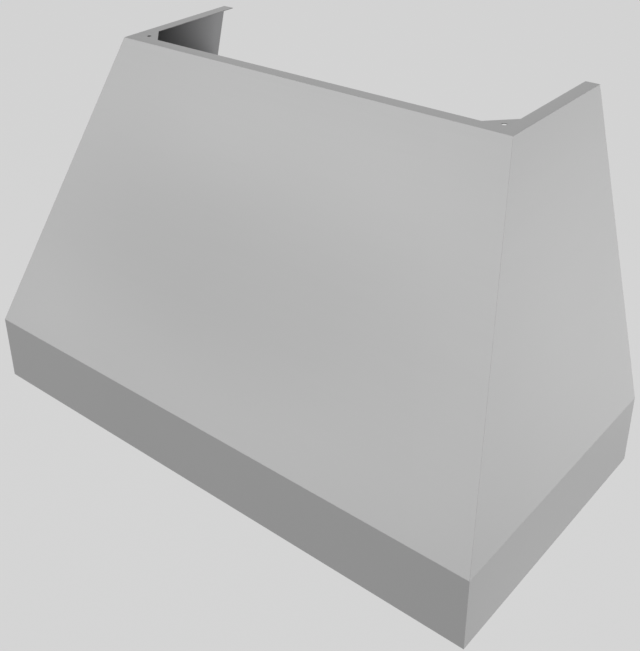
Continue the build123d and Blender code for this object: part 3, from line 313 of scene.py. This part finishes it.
def keep_flats_flat(made):
    """Shades the flat faces evenly, with the turn of light left to the narrow ones between them."""
    normals = made.modifiers.new("normals", "WEIGHTED_NORMAL")
    normals.keep_sharp = True


def round_edges(made, width):
    """Joins a CAD mesh's loose faces and rounds its edges."""
    weld = made.modifiers.new("weld", "WELD")
    weld.merge_threshold = WELD_GAP
    bevel = made.modifiers.new("bevel", "BEVEL")
    bevel.width = width
    bevel.segments = EDGE_SEGMENTS
    bevel.limit_method = "ANGLE"
    bevel.angle_limit = SHARP_FROM
    bevel.use_clamp_overlap = True
    keep_flats_flat(made)


def dress(nodes, finish_name, edge=0.0):
    """Gives CAD nodes a finish, and rounded edges where a width is given."""
    for name in nodes:
        made = frame["nodes"][name]
        made.data.materials.clear()
        made.data.materials.append(finish(finish_name))
        if edge:
            round_edges(made, edge)


# Shader trees

class Tree:
    """Adds nodes to a shader tree, and joins them to what feeds their inputs."""

    def __init__(self, tree):
        self.tree = tree

    def add(self, kind, inputs=None, **settings):
        node = self.tree.nodes.new(kind)
        for name, value in settings.items():
            setattr(node, name, value)
        for key, value in (inputs or {}).items():
            if isinstance(value, bpy.types.NodeSocket):
                self.tree.links.new(value, node.inputs[key])
            else:
                node.inputs[key].default_value = value
        return node

    def sum(self, operation, a, b=0.0, clamp=False):
        return self.add("ShaderNodeMath", {0: a, 1: b}, operation=operation, use_clamp=clamp).outputs[0]

    def vector(self, operation, a, b):
        return self.add("ShaderNodeVectorMath", {0: a, 1: b}, operation=operation).outputs[0]

    def joined(self, x, y, z):
        return self.add("ShaderNodeCombineXYZ", {0: x, 1: y, 2: z}).outputs[0]

    def part(self, vector, axis):
        return self.add("ShaderNodeSeparateXYZ", {0: vector}).outputs[axis]

    def swing(self, value, width):
        """A value between 0 and 1, made to swing about 0 by a width."""
        return self.sum("MULTIPLY", self.sum("SUBTRACT", value, 0.5), width)

    def brighten(self, tone, factor):
        return self.vector("MULTIPLY", tone, self.joined(factor, factor, factor))

    def noise(self, vector, scale, detail=2.0, roughness=0.5):
        inputs = {"Vector": vector, "Scale": scale, "Detail": detail, "Roughness": roughness}
        return self.add("ShaderNodeTexNoise", inputs).outputs["Fac"]

    def bump(self, height, depth, strength=1.0):
        inputs = {"Height": height, "Distance": depth, "Strength": strength}
        return self.add("ShaderNodeBump", inputs).outputs["Normal"]

    def group(self, name, inputs):
        """An effect group, built when it is first used."""
        tree = bpy.data.node_groups.get(name) or EFFECTS[name]()
        return self.add("ShaderNodeGroup", inputs, node_tree=tree).outputs


# Effect groups: they put out colours, values and normals, and the materials keep the shaders

GREY = (0.5, 0.5, 0.5, 1.0)
# How far a normal leans to Z on a level face, and to Y on the front wall, of 1
LEVEL_FROM = 0.9
WALL_FROM = 0.5
OUTPUTS = {"Colour": "NodeSocketColor", "Roughness": "NodeSocketFloat", "Normal": "NodeSocketVector"}


def effect(name, inputs, labels=tuple(OUTPUTS)):
    """An empty group with named inputs and outputs: its tree, its given values and its results."""
    tree = bpy.data.node_groups.new(name, "ShaderNodeTree")
    for label, default in inputs.items():
        kind = "NodeSocketFloat"
        if not isinstance(default, float):
            kind = "NodeSocketColor" if len(default) == 4 else "NodeSocketVector"
        tree.interface.new_socket(label, in_out="INPUT", socket_type=kind).default_value = default
    for label in labels:
        tree.interface.new_socket(label, in_out="OUTPUT", socket_type=OUTPUTS[label])
    nodes = Tree(tree)
    return nodes, nodes.add("NodeGroupInput").outputs, nodes.add("NodeGroupOutput").inputs


def put_out(nodes, results, **values):
    for label, value in values.items():
        nodes.tree.links.new(value, results[label])
    return nodes.tree


def make_brushed_grain():
    """Fine level streaks along a sheet, with soft unevenness over a hand's width."""
    nodes, given, results = effect("brushed grain", {
        "Colour": GREY, "Roughness": 0.4, "Streak": 0.045, "Cloud": 0.03, "Fineness": 1300.0,
        "Depth": 0.00001, "Coarseness": 5.0, "Cloud Scale": 3.2, "Dulling": 2.0,
    })
    source = nodes.add("ShaderNodeTexCoord").outputs
    along, across = given["Coarseness"], given["Fineness"]
    upright = nodes.sum("ABSOLUTE", nodes.part(source["Normal"], "Z"))
    inputs = {
        0: nodes.sum("GREATER_THAN", upright, LEVEL_FROM),
        4: nodes.joined(along, along, across),
        5: nodes.joined(along, across, along),
    }
    stretch = nodes.add("ShaderNodeMix", inputs, data_type="VECTOR").outputs[1]
    stretched = nodes.vector("MULTIPLY", source["Object"], stretch)
    streaks = nodes.noise(stretched, 1.0, detail=3.0, roughness=0.6)
    clouds = nodes.noise(source["Object"], given["Cloud Scale"], detail=1.0, roughness=0.4)
    change = nodes.swing(streaks, given["Streak"])
    factor = nodes.sum("ADD", nodes.sum("ADD", change, nodes.swing(clouds, given["Cloud"])), 1.0)
    dulling = nodes.sum("MULTIPLY", change, given["Dulling"])
    return put_out(
        nodes, results,
        Colour=nodes.brighten(given["Colour"], factor),
        Roughness=nodes.sum("ADD", given["Roughness"], dulling),
        Normal=nodes.bump(streaks, given["Depth"]),
    )


def make_soft_shade():
    """A painted shade: a soft darker patch in the colour, which stands in for a dimmer part of the sheet's
    reflection.
    """
    nodes, given, results = effect("painted shade", {
        "Colour": GREY, "Place": (0.0, 0.0, 0.0), "Squeeze": (1.0, 1.0, 1.0), "Reach": 0.2, "Amount": 0.08,
    }, ("Colour",))
    spot = nodes.add("ShaderNodeTexCoord").outputs["Object"]
    gap = nodes.vector("MULTIPLY", nodes.vector("SUBTRACT", spot, given["Place"]), given["Squeeze"])
    away = nodes.add("ShaderNodeVectorMath", {0: gap}, operation="LENGTH").outputs["Value"]
    near = nodes.sum("SUBTRACT", 1.0, nodes.sum("DIVIDE", away, given["Reach"]), clamp=True)
    eased = nodes.add("ShaderNodeMapRange", {"Value": near}, interpolation_type="SMOOTHERSTEP")
    change = nodes.sum("MULTIPLY", eased.outputs["Result"], given["Amount"])
    factor = nodes.sum("SUBTRACT", 1.0, change)
    return put_out(nodes, results, Colour=nodes.brighten(given["Colour"], factor))


def make_mill_scale():
    """Unpolished sheet with faint streaks and clouds, and painted shade: the sides darker towards the front,
    the front wall lighter than the sides.
    """
    nodes, given, results = effect("mill scale and painted shade", {
        "Colour": GREY, "Roughness": 0.6, "Streak": 0.02, "Cloud": 0.1, "Front": -0.2, "Back": -0.02,
        "Low": 0.40, "High": 1.35, "Front Wall": 1.2, "Grain": (5.0, 5.0, 700.0), "Cloud Scale": 6.0,
        "Fineness": 1200.0, "Depth": 0.00001,
    })
    source = nodes.add("ShaderNodeTexCoord").outputs
    spot = source["Object"]
    # Painted shade: the sides grow darker towards the front
    inputs = {
        "Value": nodes.part(spot, "Y"), "From Min": given["Front"], "From Max": given["Back"],
        "To Min": given["Low"], "To Max": given["High"],
    }
    side = nodes.add("ShaderNodeMapRange", inputs).outputs["Result"]
    facing = nodes.sum("ABSOLUTE", nodes.part(source["Normal"], "Y"))
    front = nodes.sum("GREATER_THAN", facing, WALL_FROM)
    # Painted light: the front wall is kept lighter than the painted shade of the sides
    painted_shade = nodes.add("ShaderNodeMix", {0: front, 2: side, 3: given["Front Wall"]}).outputs[0]
    streaks = nodes.noise(nodes.vector("MULTIPLY", spot, given["Grain"]), 1.0)
    clouds = nodes.noise(spot, given["Cloud Scale"], detail=3.0)
    soft = nodes.swing(clouds, given["Cloud"])
    change = nodes.sum("ADD", nodes.swing(streaks, given["Streak"]), soft)
    factor = nodes.sum("MULTIPLY", painted_shade, nodes.sum("ADD", change, 1.0))
    return put_out(
        nodes, results,
        Colour=nodes.brighten(given["Colour"], factor),
        Roughness=nodes.sum("ADD", given["Roughness"], soft),
        Normal=nodes.bump(nodes.noise(spot, given["Fineness"]), given["Depth"]),
    )


def make_zinc_spangle():
    """The crystal patches of a zinc coat."""
    nodes, given, results = effect("zinc spangle", {
        "Colour": GREY, "Roughness": 0.45, "Contrast": 0.18, "Patch": 95.0, "Bend Scale": 45.0,
        "Bend": (0.008, 0.008, 0.008), "Dulling": 0.16, "Fineness": 900.0, "Depth": 0.00003, "Strength": 0.6,
    })
    spot = nodes.add("ShaderNodeTexCoord").outputs["Object"]
    inputs = {"Vector": spot, "Scale": given["Bend Scale"], "Detail": 2.0}
    bent = nodes.add("ShaderNodeTexNoise", inputs).outputs["Color"]
    shifted = nodes.vector("ADD", spot, nodes.vector("MULTIPLY", bent, given["Bend"]))
    cells = nodes.add("ShaderNodeTexVoronoi", {"Vector": shifted, "Scale": given["Patch"]}).outputs["Color"]
    factor = nodes.sum("ADD", nodes.swing(nodes.part(cells, "X"), given["Contrast"]), 1.0)
    dulling = nodes.swing(nodes.part(cells, "Y"), given["Dulling"])
    return put_out(
        nodes, results,
        Colour=nodes.brighten(given["Colour"], factor),
        Roughness=nodes.sum("ADD", given["Roughness"], dulling),
        Normal=nodes.bump(nodes.noise(spot, given["Fineness"]), given["Depth"], given["Strength"]),
    )


def make_cast_grain():
    """A fine even grain, for mouldings, enamel, turned metal and sheath."""
    nodes, given, results = effect("cast grain", {
        "Colour": GREY, "Roughness": 0.4, "Contrast": 0.06, "Scale": 600.0, "Depth": 0.00003,
        "Cloud Scale": 18.0, "Dulling": 0.2,
    })
    spot = nodes.add("ShaderNodeTexCoord").outputs["Object"]
    broad = nodes.noise(spot, given["Cloud Scale"], detail=3.0)
    factor = nodes.sum("ADD", nodes.swing(broad, given["Contrast"]), 1.0)
    return put_out(
        nodes, results,
        Colour=nodes.brighten(given["Colour"], factor),
        Roughness=nodes.sum("ADD", given["Roughness"], nodes.swing(broad, given["Dulling"])),
        Normal=nodes.bump(nodes.noise(spot, given["Scale"], detail=3.0), given["Depth"]),
    )


EFFECTS = {
    "brushed grain": make_brushed_grain,
    "painted shade": make_soft_shade,
    "mill scale and painted shade": make_mill_scale,
    "zinc spangle": make_zinc_spangle,
    "cast grain": make_cast_grain,
}


# Finishes

class Finish(NamedTuple):
    """A material: its colour setting, the effect that varies it, and what both are told."""

    colour: str
    metallic: float
    roughness: float
    effect: str
    values: dict = {}
    # Where, how far and how deep a painted shade patch darkens the colour, where one is given
    shade: dict = {}
    shader: dict = {}


# A painted shade on the left of the front slope, wider than it is high: a darker patch in the colour for a
# dimmer reflection there
FRONT_PAINTED_SHADE = {"Place": (-0.08, -0.475, 0.42), "Squeeze": (0.4, 1.0, 1.0), "Reach": 0.36, "Amount": 0.105}

FINISHES = {
    "satin steel": Finish("satin_steel", 1.0, 0.52, "brushed grain"),
    # The canopy's steel, with a painted shade on its front slope
    "canopy steel": Finish("satin_steel", 1.0, 0.52, "brushed grain", shade=FRONT_PAINTED_SHADE),
    "dull steel and painted shade": Finish("dull_steel", 1.0, 0.6, "mill scale and painted shade"),
    "galvanised sheet": Finish("galvanised", 1.0, 0.46, "zinc spangle"),
    "bright zinc": Finish("bright_zinc", 1.0, 0.3, "cast grain", {"Contrast": 0.12}),
    "spring steel": Finish("spring_steel", 1.0, 0.38, "cast grain", {"Contrast": 0.2}),
    "mill aluminium": Finish(
        "aluminium", 1.0, 0.36, "brushed grain", {"Streak": 0.06, "Fineness": 1400.0},
    ),
    "black enamel": Finish(
        "enamel", 0.0, 0.34, "cast grain", {"Scale": 240.0, "Depth": 0.00005, "Contrast": 0.15},
    ),
    "machined steel": Finish(
        "machined", 1.0, 0.28, "brushed grain", {"Streak": 0.1, "Fineness": 2200.0},
    ),
    "knob metal": Finish(
        "satin_steel", 1.0, 0.3, "brushed grain", {"Streak": 0.05, "Fineness": 1800.0, "Cloud": 0.0},
    ),
    "bezel chrome": Finish("chrome", 1.0, 0.12, "cast grain", {"Contrast": 0.02, "Depth": 0.000004}),
    "dark plastic": Finish("dark_plastic", 0.0, 0.5, "cast grain", {"Depth": 0.00004}),
    "pale plastic": Finish("pale_plastic", 0.0, 0.45, "cast grain"),
    "lead sheath": Finish("sheath", 0.0, 0.55, "cast grain", {"Scale": 300.0}),
    "dial ink": Finish("ink", 0.0, 0.6, "cast grain", {"Contrast": 0.1}),
    "diode phosphor": Finish("phosphor", 0.0, 0.5, "cast grain", {"Contrast": 0.1}),
    "board white": Finish("board", 0.0, 0.4, "cast grain", {"Contrast": 0.05}),
    "frosted glass": Finish(
        "glass", 0.0, 0.32, "cast grain", {"Contrast": 0.02, "Scale": 900.0, "Depth": 0.00004},
        shader={"Transmission Weight": 0.75, "IOR": 1.5},
    ),
}


def finish(name):
    """The material of a finish, built when it is first used."""
    if name in bpy.data.materials:
        return bpy.data.materials[name]
    style = FINISHES[name]
    material = bpy.data.materials.new(name)
    material.use_nodes = True
    nodes = Tree(material.node_tree)
    shader = material.node_tree.nodes["Principled BSDF"]
    base = (*getattr(colours(), style.colour), 1)
    pattern = nodes.group(style.effect, {"Colour": base, "Roughness": style.roughness, **style.values})
    tone = pattern["Colour"]
    # Where a finish gives a painted shade, its patch darkens the colour
    if style.shade:
        tone = nodes.group("painted shade", {"Colour": tone, **style.shade})["Colour"]
    nodes.tree.links.new(tone, shader.inputs["Base Color"])
    nodes.tree.links.new(pattern["Roughness"], shader.inputs["Roughness"])
    nodes.tree.links.new(pattern["Normal"], shader.inputs["Normal"])
    for label, value in {"Metallic": style.metallic, **style.shader}.items():
        shader.inputs[label].default_value = value
    return material


# Pieces

# The knobs' numbers, 0 to 3
DIAL_STOPS = 4


def canopy_rows():
    """The canopy's outer face at five heights, each from the left rear corner round to the right."""
    size = sizes()
    low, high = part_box("front_panel")
    half, depth, top = high.x, -low.y, high.z
    levels = [
        (half - size.return_flange, depth - size.return_flange, 0.0),
        (half, depth, 0.0),
        (half, depth, size.band_height),
        (size.top_width / 2, size.top_depth, top),
        (size.top_width / 2 - size.top_flange, size.top_depth - size.top_flange, top),
    ]
    return [[(-x, 0, z), (-x, -y, z), (x, -y, z), (x, 0, z)] for x, y, z in levels]


class HOOD_OT_canopy(bpy.types.Operator):
    """The canopy as one welded skin with rounded folds, and its corner gussets"""

    bl_idname = "hood.canopy"
    bl_label = "Canopy"

    def execute(self, context):
        size = sizes()
        shape = bmesh.new()
        loft(shape, canopy_rows())
        bmesh.ops.bevel(
            shape, geom=[edge for edge in shape.edges if len(edge.link_faces) == 2], offset=size.bend,
            segments=BEND_SEGMENTS, profile=BEND_PROFILE, affect="EDGES", clamp_overlap=True,
        )
        bmesh.ops.recalc_face_normals(shape, faces=shape.faces)
        skin = piece("canopy_skin", shape, "hood", "canopy steel", smooth=True)
        # The inner side: dull steel, with painted shade
        skin.data.materials.append(finish("dull steel and painted shade"))
        thick = skin.modifiers.new("thickness", "SOLIDIFY")
        thick.thickness = size.sheet
        thick.offset = -1
        thick.use_even_offset = True
        thick.material_offset = 1
        keep_flats_flat(skin)
        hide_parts("front_panel", "right_side_panel", "left_side_panel")
        dress(["top_gussets"], "satin steel")
        return {"FINISHED"}


class HOOD_OT_wall_fixing(bpy.types.Operator):
    """The hanging rail and the rear panel"""

    bl_idname = "hood.wall_fixing"
    bl_label = "Wall fixing"

    def execute(self, context):
        dress(["hanging_rail", "rear_panel"], "galvanised sheet", sizes().sheet_edge)
        return {"FINISHED"}


class HOOD_OT_liner(bpy.types.Operator):
    """The pan in the underside with its studs, nuts and screws"""

    bl_idname = "hood.liner"
    bl_label = "Liner"

    def execute(self, context):
        edge = sizes().sheet_edge
        dress(["liner_deck"], "satin steel", edge)
        dress(["weld_studs", "nuts", "panel_screws", "hinge_pins"], "bright zinc", edge)
        return {"FINISHED"}


class HOOD_OT_filters(bpy.types.Operator):
    """The baffle filters with their rivets, their hinge rail and their spring catches"""

    bl_idname = "hood.filters"
    bl_label = "Filters"

    def execute(self, context):
        edge = sizes().sheet_edge
        for number in (1, 2, 3):
            names = [f"filter_frame_{number}", f"filter_baffles_{number}", f"filter_pull_{number}"]
            dress(names, "satin steel", edge)
            self.rivets(number)
        dress(["filter_catches"], "spring steel")
        dress(["filter_hinge_rail"], "galvanised sheet", edge)
        return {"FINISHED"}

    def rivets(self, number):
        """Two at each corner of a frame's lower face."""
        size = sizes()
        rise, run = math.sin(size.filter_slope), math.cos(size.filter_slope)
        down = Vector((0, -rise, -run))
        forward = Vector((0, -run, rise))
        low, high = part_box(f"filter_frame_{number}")
        face = (low + high) / 2 + down * size.filter_height / 2
        half = (high.x - low.x) / 2
        reach = ((high.y - low.y) - size.filter_height * rise) / run / 2
        near, far = size.filter_border / 2, 2 * size.filter_border
        outwards = down.to_track_quat("Z", "Y").to_matrix().to_4x4()
        shape = bmesh.new()
        for side in (-1, 1):
            for end in (-1, 1):
                for across, along in ((near, far), (far, near)):
                    spot = face + forward * end * (reach - along) + Vector((side * (half - across), 0, 0))
                    dome(shape, Matrix.Translation(spot) @ outwards, size.rivet, size.rivet_height)
        name = f"filter_rivets_{number}"
        piece(name, shape, f"filter_{number}", "satin steel", smooth=True)


class HOOD_OT_grease_tray(bpy.types.Operator):
    """The trough behind the filters and the cup under its drain"""

    bl_idname = "hood.grease_tray"
    bl_label = "Grease tray"

    def execute(self, context):
        dress(["grease_trough", "grease_cup"], "satin steel", sizes().sheet_edge)
        return {"FINISHED"}


class HOOD_OT_air_boxes(bpy.types.Operator):
    """The sheet boxes that lead the air: plenum, blower box, scrolls and outlet box"""

    bl_idname = "hood.air_boxes"
    bl_label = "Air boxes"

    def execute(self, context):
        names = ["plenum", "blower_box", "outlet_box", "right_scroll", "left_scroll", "inlet_rings"]
        dress(names, "galvanised sheet", sizes().sheet_edge)
        return {"FINISHED"}


class HOOD_OT_blower(bpy.types.Operator):
    """The wheels, the motor in its strap and the run capacitor"""

    bl_idname = "hood.blower"
    bl_label = "Blower"

    def execute(self, context):
        edge = sizes().sheet_edge
        dress(["right_blower_wheel", "left_blower_wheel", "motor_bracket"], "galvanised sheet")
        dress(["motor_shaft", "motor_rotor", "motor_stator", "motor_bearings"], "machined steel")
        dress(["motor_body"], "black enamel", edge)
        dress(["run_capacitor"], "pale plastic", edge)
        return {"FINISHED"}


class HOOD_OT_duct(bpy.types.Operator):
    """The duct collar and the two damper flaps"""

    bl_idname = "hood.duct"
    bl_label = "Duct"

    def execute(self, context):
        dress(["duct_collar"], "galvanised sheet", sizes().sheet_edge)
        dress(["front_damper_flap", "rear_damper_flap"], "mill aluminium")
        return {"FINISHED"}


class HOOD_OT_lamps(bpy.types.Operator):
    """The lamps: bezels, frosted lenses, cans and their boards of diodes"""

    bl_idname = "hood.lamps"
    bl_label = "Lamps"

    def execute(self, context):
        edge = sizes().sheet_edge
        dress(["lamp_bezels"], "bezel chrome", edge)
        dress(["lamp_lenses"], "frosted glass")
        dress(["lamp_cans"], "galvanised sheet", edge)
        dress(["led_modules"], "mill aluminium")
        self.boards()
        return {"FINISHED"}

    def boards(self):
        """A white board against each heat sink, with a diode in the middle and two rings round it."""
        size = sizes()
        low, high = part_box("led_modules")
        y = (low.y + high.y) / 2
        outer = high.x - (high.y - low.y) / 2
        square = bar(size.diode, size.diode, size.diode_corner)
        boards, diodes = bmesh.new(), bmesh.new()
        for x in (-outer, -size.inner_lamp, size.inner_lamp, outer):
            prism(boards, facing_down(x, y, low.z), ring(size.board / 2, ROUND_SIDES), size.board_sheet)
            face = facing_down(x, y, low.z - size.board_sheet)
            for count, radius in ((1, 0.0), (6, size.inner_ring), (12, size.outer_ring)):
                for n in range(count):
                    turn = Matrix.Rotation(2 * math.pi * n / count, 4, "Z")
                    prism(diodes, face @ turn @ Matrix.Translation((radius, 0, 0)), square, size.diode_height)
        piece("lamp_boards", boards, "hood", "board white")
        piece("lamp_diodes", diodes, "hood", "diode phosphor")


class HOOD_OT_controls(bpy.types.Operator):
    """The control panel, its two knobs and their switches, with a printed dial round each knob"""

    bl_idname = "hood.controls"
    bl_label = "Controls"

    def execute(self, context):
        edge = sizes().sheet_edge
        dress(["control_panel"], "satin steel", edge)
        dress(["fan_knob", "light_knob"], "knob metal", edge)
        dress(["fan_knob_shaft", "light_knob_shaft"], "machined steel")
        dress(["rotary_switches"], "dark plastic", edge)
        sweeps = {joint["name"]: joint.get("range_deg") for joint in frame["joints"]}
        dials = bmesh.new()
        for knob in ("fan_knob", "light_knob"):
            self.pointer(knob)
            self.dial(dials, knob, math.radians(sweeps[f"{knob}_turn"][1]))
        piece("dial_marks", dials, "hood", "dial ink")
        return {"FINISHED"}

    def pointer(self, knob):
        """Paint in the groove of a knob's face."""
        size = sizes()
        low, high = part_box(knob)
        middle = (low + high) / 2
        reach = (high.y - low.y) / 2 - size.pointer_end
        groove = facing_down(middle.x, middle.y - reach / 2, low.z + size.pointer_depth + size.pointer_coat)
        shape = bmesh.new()
        prism(shape, groove, bar(size.pointer, reach, size.line / 2), size.pointer_coat)
        piece(f"{knob}_pointer", shape, knob, "dial ink")

    def dial(self, shape, knob, sweep):
        """Marks and numbers at the stops of a knob that turns clockwise seen from below."""
        size = sizes()
        low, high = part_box(knob)
        axis = facing_down((low.x + high.x) / 2, (low.y + high.y) / 2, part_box("control_panel")[0].z)
        mark = bar(size.line, size.tick, size.line / 4)
        for number in range(DIAL_STOPS):
            turn = sweep * number / (DIAL_STOPS - 1)
            out = Matrix.Rotation(-turn, 4, "Z") @ Matrix.Translation((0, size.tick_radius, 0))
            prism(shape, axis @ out, mark, size.ink)
            way = Vector((math.sin(turn), math.cos(turn), 0)) * size.dial_radius
            number_shape(shape, axis @ Matrix.Translation(way), str(number))


class HOOD_OT_wiring(bpy.types.Operator):
    """The supply box, the lamp driver, the leads and their clips"""

    bl_idname = "hood.wiring"
    bl_label = "Wiring"

    def execute(self, context):
        edge = sizes().sheet_edge
        dress(["junction_box", "junction_cover", "clips"], "galvanised sheet", edge)
        dress(["terminal_block"], "dark plastic", edge)
        dress(["led_driver"], "pale plastic", edge)
        dress(["motor_lead", "control_lead", "loop_leads"], "lead sheath")
        return {"FINISHED"}


# Floor, light and camera

# In millimetres, as the lens is
SENSOR_WIDTH = 36


class Softbox(NamedTuple):
    """A large lamp that looks at the hood. Azimuth 0 stands in front of it, and 90 on its right."""

    name: str
    azimuth: float
    elevation: float
    distance: float
    width: float
    height: float


SOFTBOXES = (
    Softbox("front", azimuth=-27, elevation=21, distance=5.0, width=7.2, height=5.2),
    Softbox("side", azimuth=134, elevation=-10, distance=3.6, width=5.0, height=2.7),
    Softbox("low", azimuth=126, elevation=-49, distance=2.34, width=1.6, height=0.7),
    Softbox("rear", azimuth=-150, elevation=30, distance=4.0, width=3.0, height=3.0),
)


def floor_material():
    """Pale, with a little of the shadow that falls on it, and clear from below."""
    settings = stage_settings()
    background, shadow = settings.background, settings.shadow
    tone = (background,) * 3 + (1,)
    # What the diffuse share lacks under the world's light alone is made up by the even share
    full = ((background - shadow * background ** 2) / (1 - shadow),) * 3 + (1,)
    material = bpy.data.materials.new("floor")
    material.use_nodes = True
    tree = material.node_tree
    tree.nodes.remove(tree.nodes["Principled BSDF"])
    nodes = Tree(tree)
    path = nodes.add("ShaderNodeLightPath").outputs
    seen = nodes.sum("MAXIMUM", path["Is Camera Ray"], path["Is Glossy Ray"])
    seen = nodes.sum("MAXIMUM", seen, path["Is Transmission Ray"])
    plain = nodes.sum("MULTIPLY", seen, 1.0 - shadow)
    lit = nodes.add("ShaderNodeBsdfDiffuse", {"Color": tone}).outputs[0]
    even = nodes.add("ShaderNodeEmission", {"Color": full, "Strength": 1.0}).outputs[0]
    above = nodes.add("ShaderNodeMixShader", {0: plain, 1: lit, 2: even}).outputs[0]
    clear = nodes.add("ShaderNodeBsdfTransparent").outputs[0]
    below = nodes.add("ShaderNodeNewGeometry").outputs["Backfacing"]
    whole = nodes.add("ShaderNodeMixShader", {0: below, 1: above, 2: clear}).outputs[0]
    tree.links.new(whole, tree.nodes["Material Output"].inputs["Surface"])
    return material


def camera_turn(yaw, pitch, roll):
    """The camera's rotation: yaw is to the right of +Y, pitch below level, roll as the picture leans."""
    forward = Vector((math.sin(yaw) * math.cos(pitch), math.cos(yaw) * math.cos(pitch), -math.sin(pitch)))
    level = Vector((math.cos(yaw), -math.sin(yaw), 0))
    above = level.cross(forward)
    right = level * math.cos(roll) + above * math.sin(roll)
    up = above * math.cos(roll) - level * math.sin(roll)
    return Matrix((right, up, -forward)).transposed().to_4x4()


class HOOD_OT_stage(bpy.types.Operator):
    """The floor, the light and the camera"""

    bl_idname = "hood.stage"
    bl_label = "Stage"

    def execute(self, context):
        context.scene.view_settings.view_transform = "Standard"
        self.floor()
        context.scene.world = self.world()
        for box in SOFTBOXES:
            self.softbox(context.scene, box)
        self.camera(context.scene)
        return {"FINISHED"}

    def floor(self):
        settings = stage_settings()
        half, z = settings.floor_size / 2, -settings.floor_drop
        shape = bmesh.new()
        loft(shape, [[(-half, y, z), (half, y, z)] for y in (-half, half)])
        floor = new_object("floor", shape, floor_material())

    def world(self):
        world = bpy.data.worlds.new("room")
        world.use_nodes = True
        tone = (stage_settings().background,) * 3 + (1,)
        world.node_tree.nodes["Background"].inputs["Color"].default_value = tone
        return world

    def softbox(self, scene, box):
        data = bpy.data.lights.new(f"{box.name} softbox", "AREA")
        data.shape = "RECTANGLE"
        data.size = box.width
        data.size_y = box.height
        brightness = getattr(stage_settings(), f"{box.name}_lamp")
        data.energy = brightness * math.pi * box.width * box.height
        lamp = bpy.data.objects.new(f"{box.name} softbox", data)
        lamp.visible_camera = False
        scene.collection.objects.link(lamp)
        a, e = math.radians(box.azimuth), math.radians(box.elevation)
        way = Vector((math.sin(a) * math.cos(e), -math.cos(a) * math.cos(e), math.sin(e)))
        lamp.location = (cad_box[0] + cad_box[1]) / 2 + way * box.distance
        lamp.rotation_mode = "QUATERNION"
        lamp.rotation_quaternion = (-way).to_track_quat("-Z", "Y")

    def camera(self, scene):
        settings = stage_settings()
        data = bpy.data.cameras.new("camera")
        data.lens = settings.lens
        data.sensor_width = SENSOR_WIDTH
        data.shift_x = settings.shift_x
        data.shift_y = settings.shift_y
        camera = bpy.data.objects.new("camera", data)
        scene.collection.objects.link(camera)
        turn = camera_turn(settings.camera_yaw, settings.camera_pitch, settings.camera_roll)
        camera.matrix_world = Matrix.Translation(settings.camera_place) @ turn
        scene.camera = camera


# Add-on

class HOOD_PT_panel(bpy.types.Panel):
    """Lists the hood's steps and its settings"""

    bl_idname = "HOOD_PT_panel"
    bl_label = "Wall Hood"
    bl_space_type = "VIEW_3D"
    bl_region_type = "UI"
    bl_category = "Hood"

    def draw(self, context):
        for step in STEPS:
            self.layout.operator(step.bl_idname)
        for settings in (sizes(), colours(), stage_settings()):
            box = self.layout.box()
            for name in settings.__annotations__:
                box.prop(settings, name)


STEPS = (
    HOOD_OT_canopy, HOOD_OT_wall_fixing, HOOD_OT_liner, HOOD_OT_filters, HOOD_OT_grease_tray,
    HOOD_OT_air_boxes, HOOD_OT_blower, HOOD_OT_duct, HOOD_OT_lamps, HOOD_OT_controls, HOOD_OT_wiring,
    HOOD_OT_stage,
)
SETTINGS = {"hood_sizes": HoodSizes, "hood_colours": HoodColours, "hood_stage": HoodStage}


def register():
    for name, settings in SETTINGS.items():
        bpy.utils.register_class(settings)
        setattr(bpy.types.Scene, name, PointerProperty(type=settings))
    for step in STEPS:
        bpy.utils.register_class(step)
    bpy.utils.register_class(HOOD_PT_panel)


def unregister():
    bpy.utils.unregister_class(HOOD_PT_panel)
    for step in reversed(STEPS):
        bpy.utils.unregister_class(step)
    for name, settings in SETTINGS.items():
        delattr(bpy.types.Scene, name)
        bpy.utils.unregister_class(settings)


def main():
    register()
    for step in STEPS:
        group, name = step.bl_idname.split(".")
        getattr(getattr(bpy.ops, group), name)()


if __name__ == "__main__":
    main()
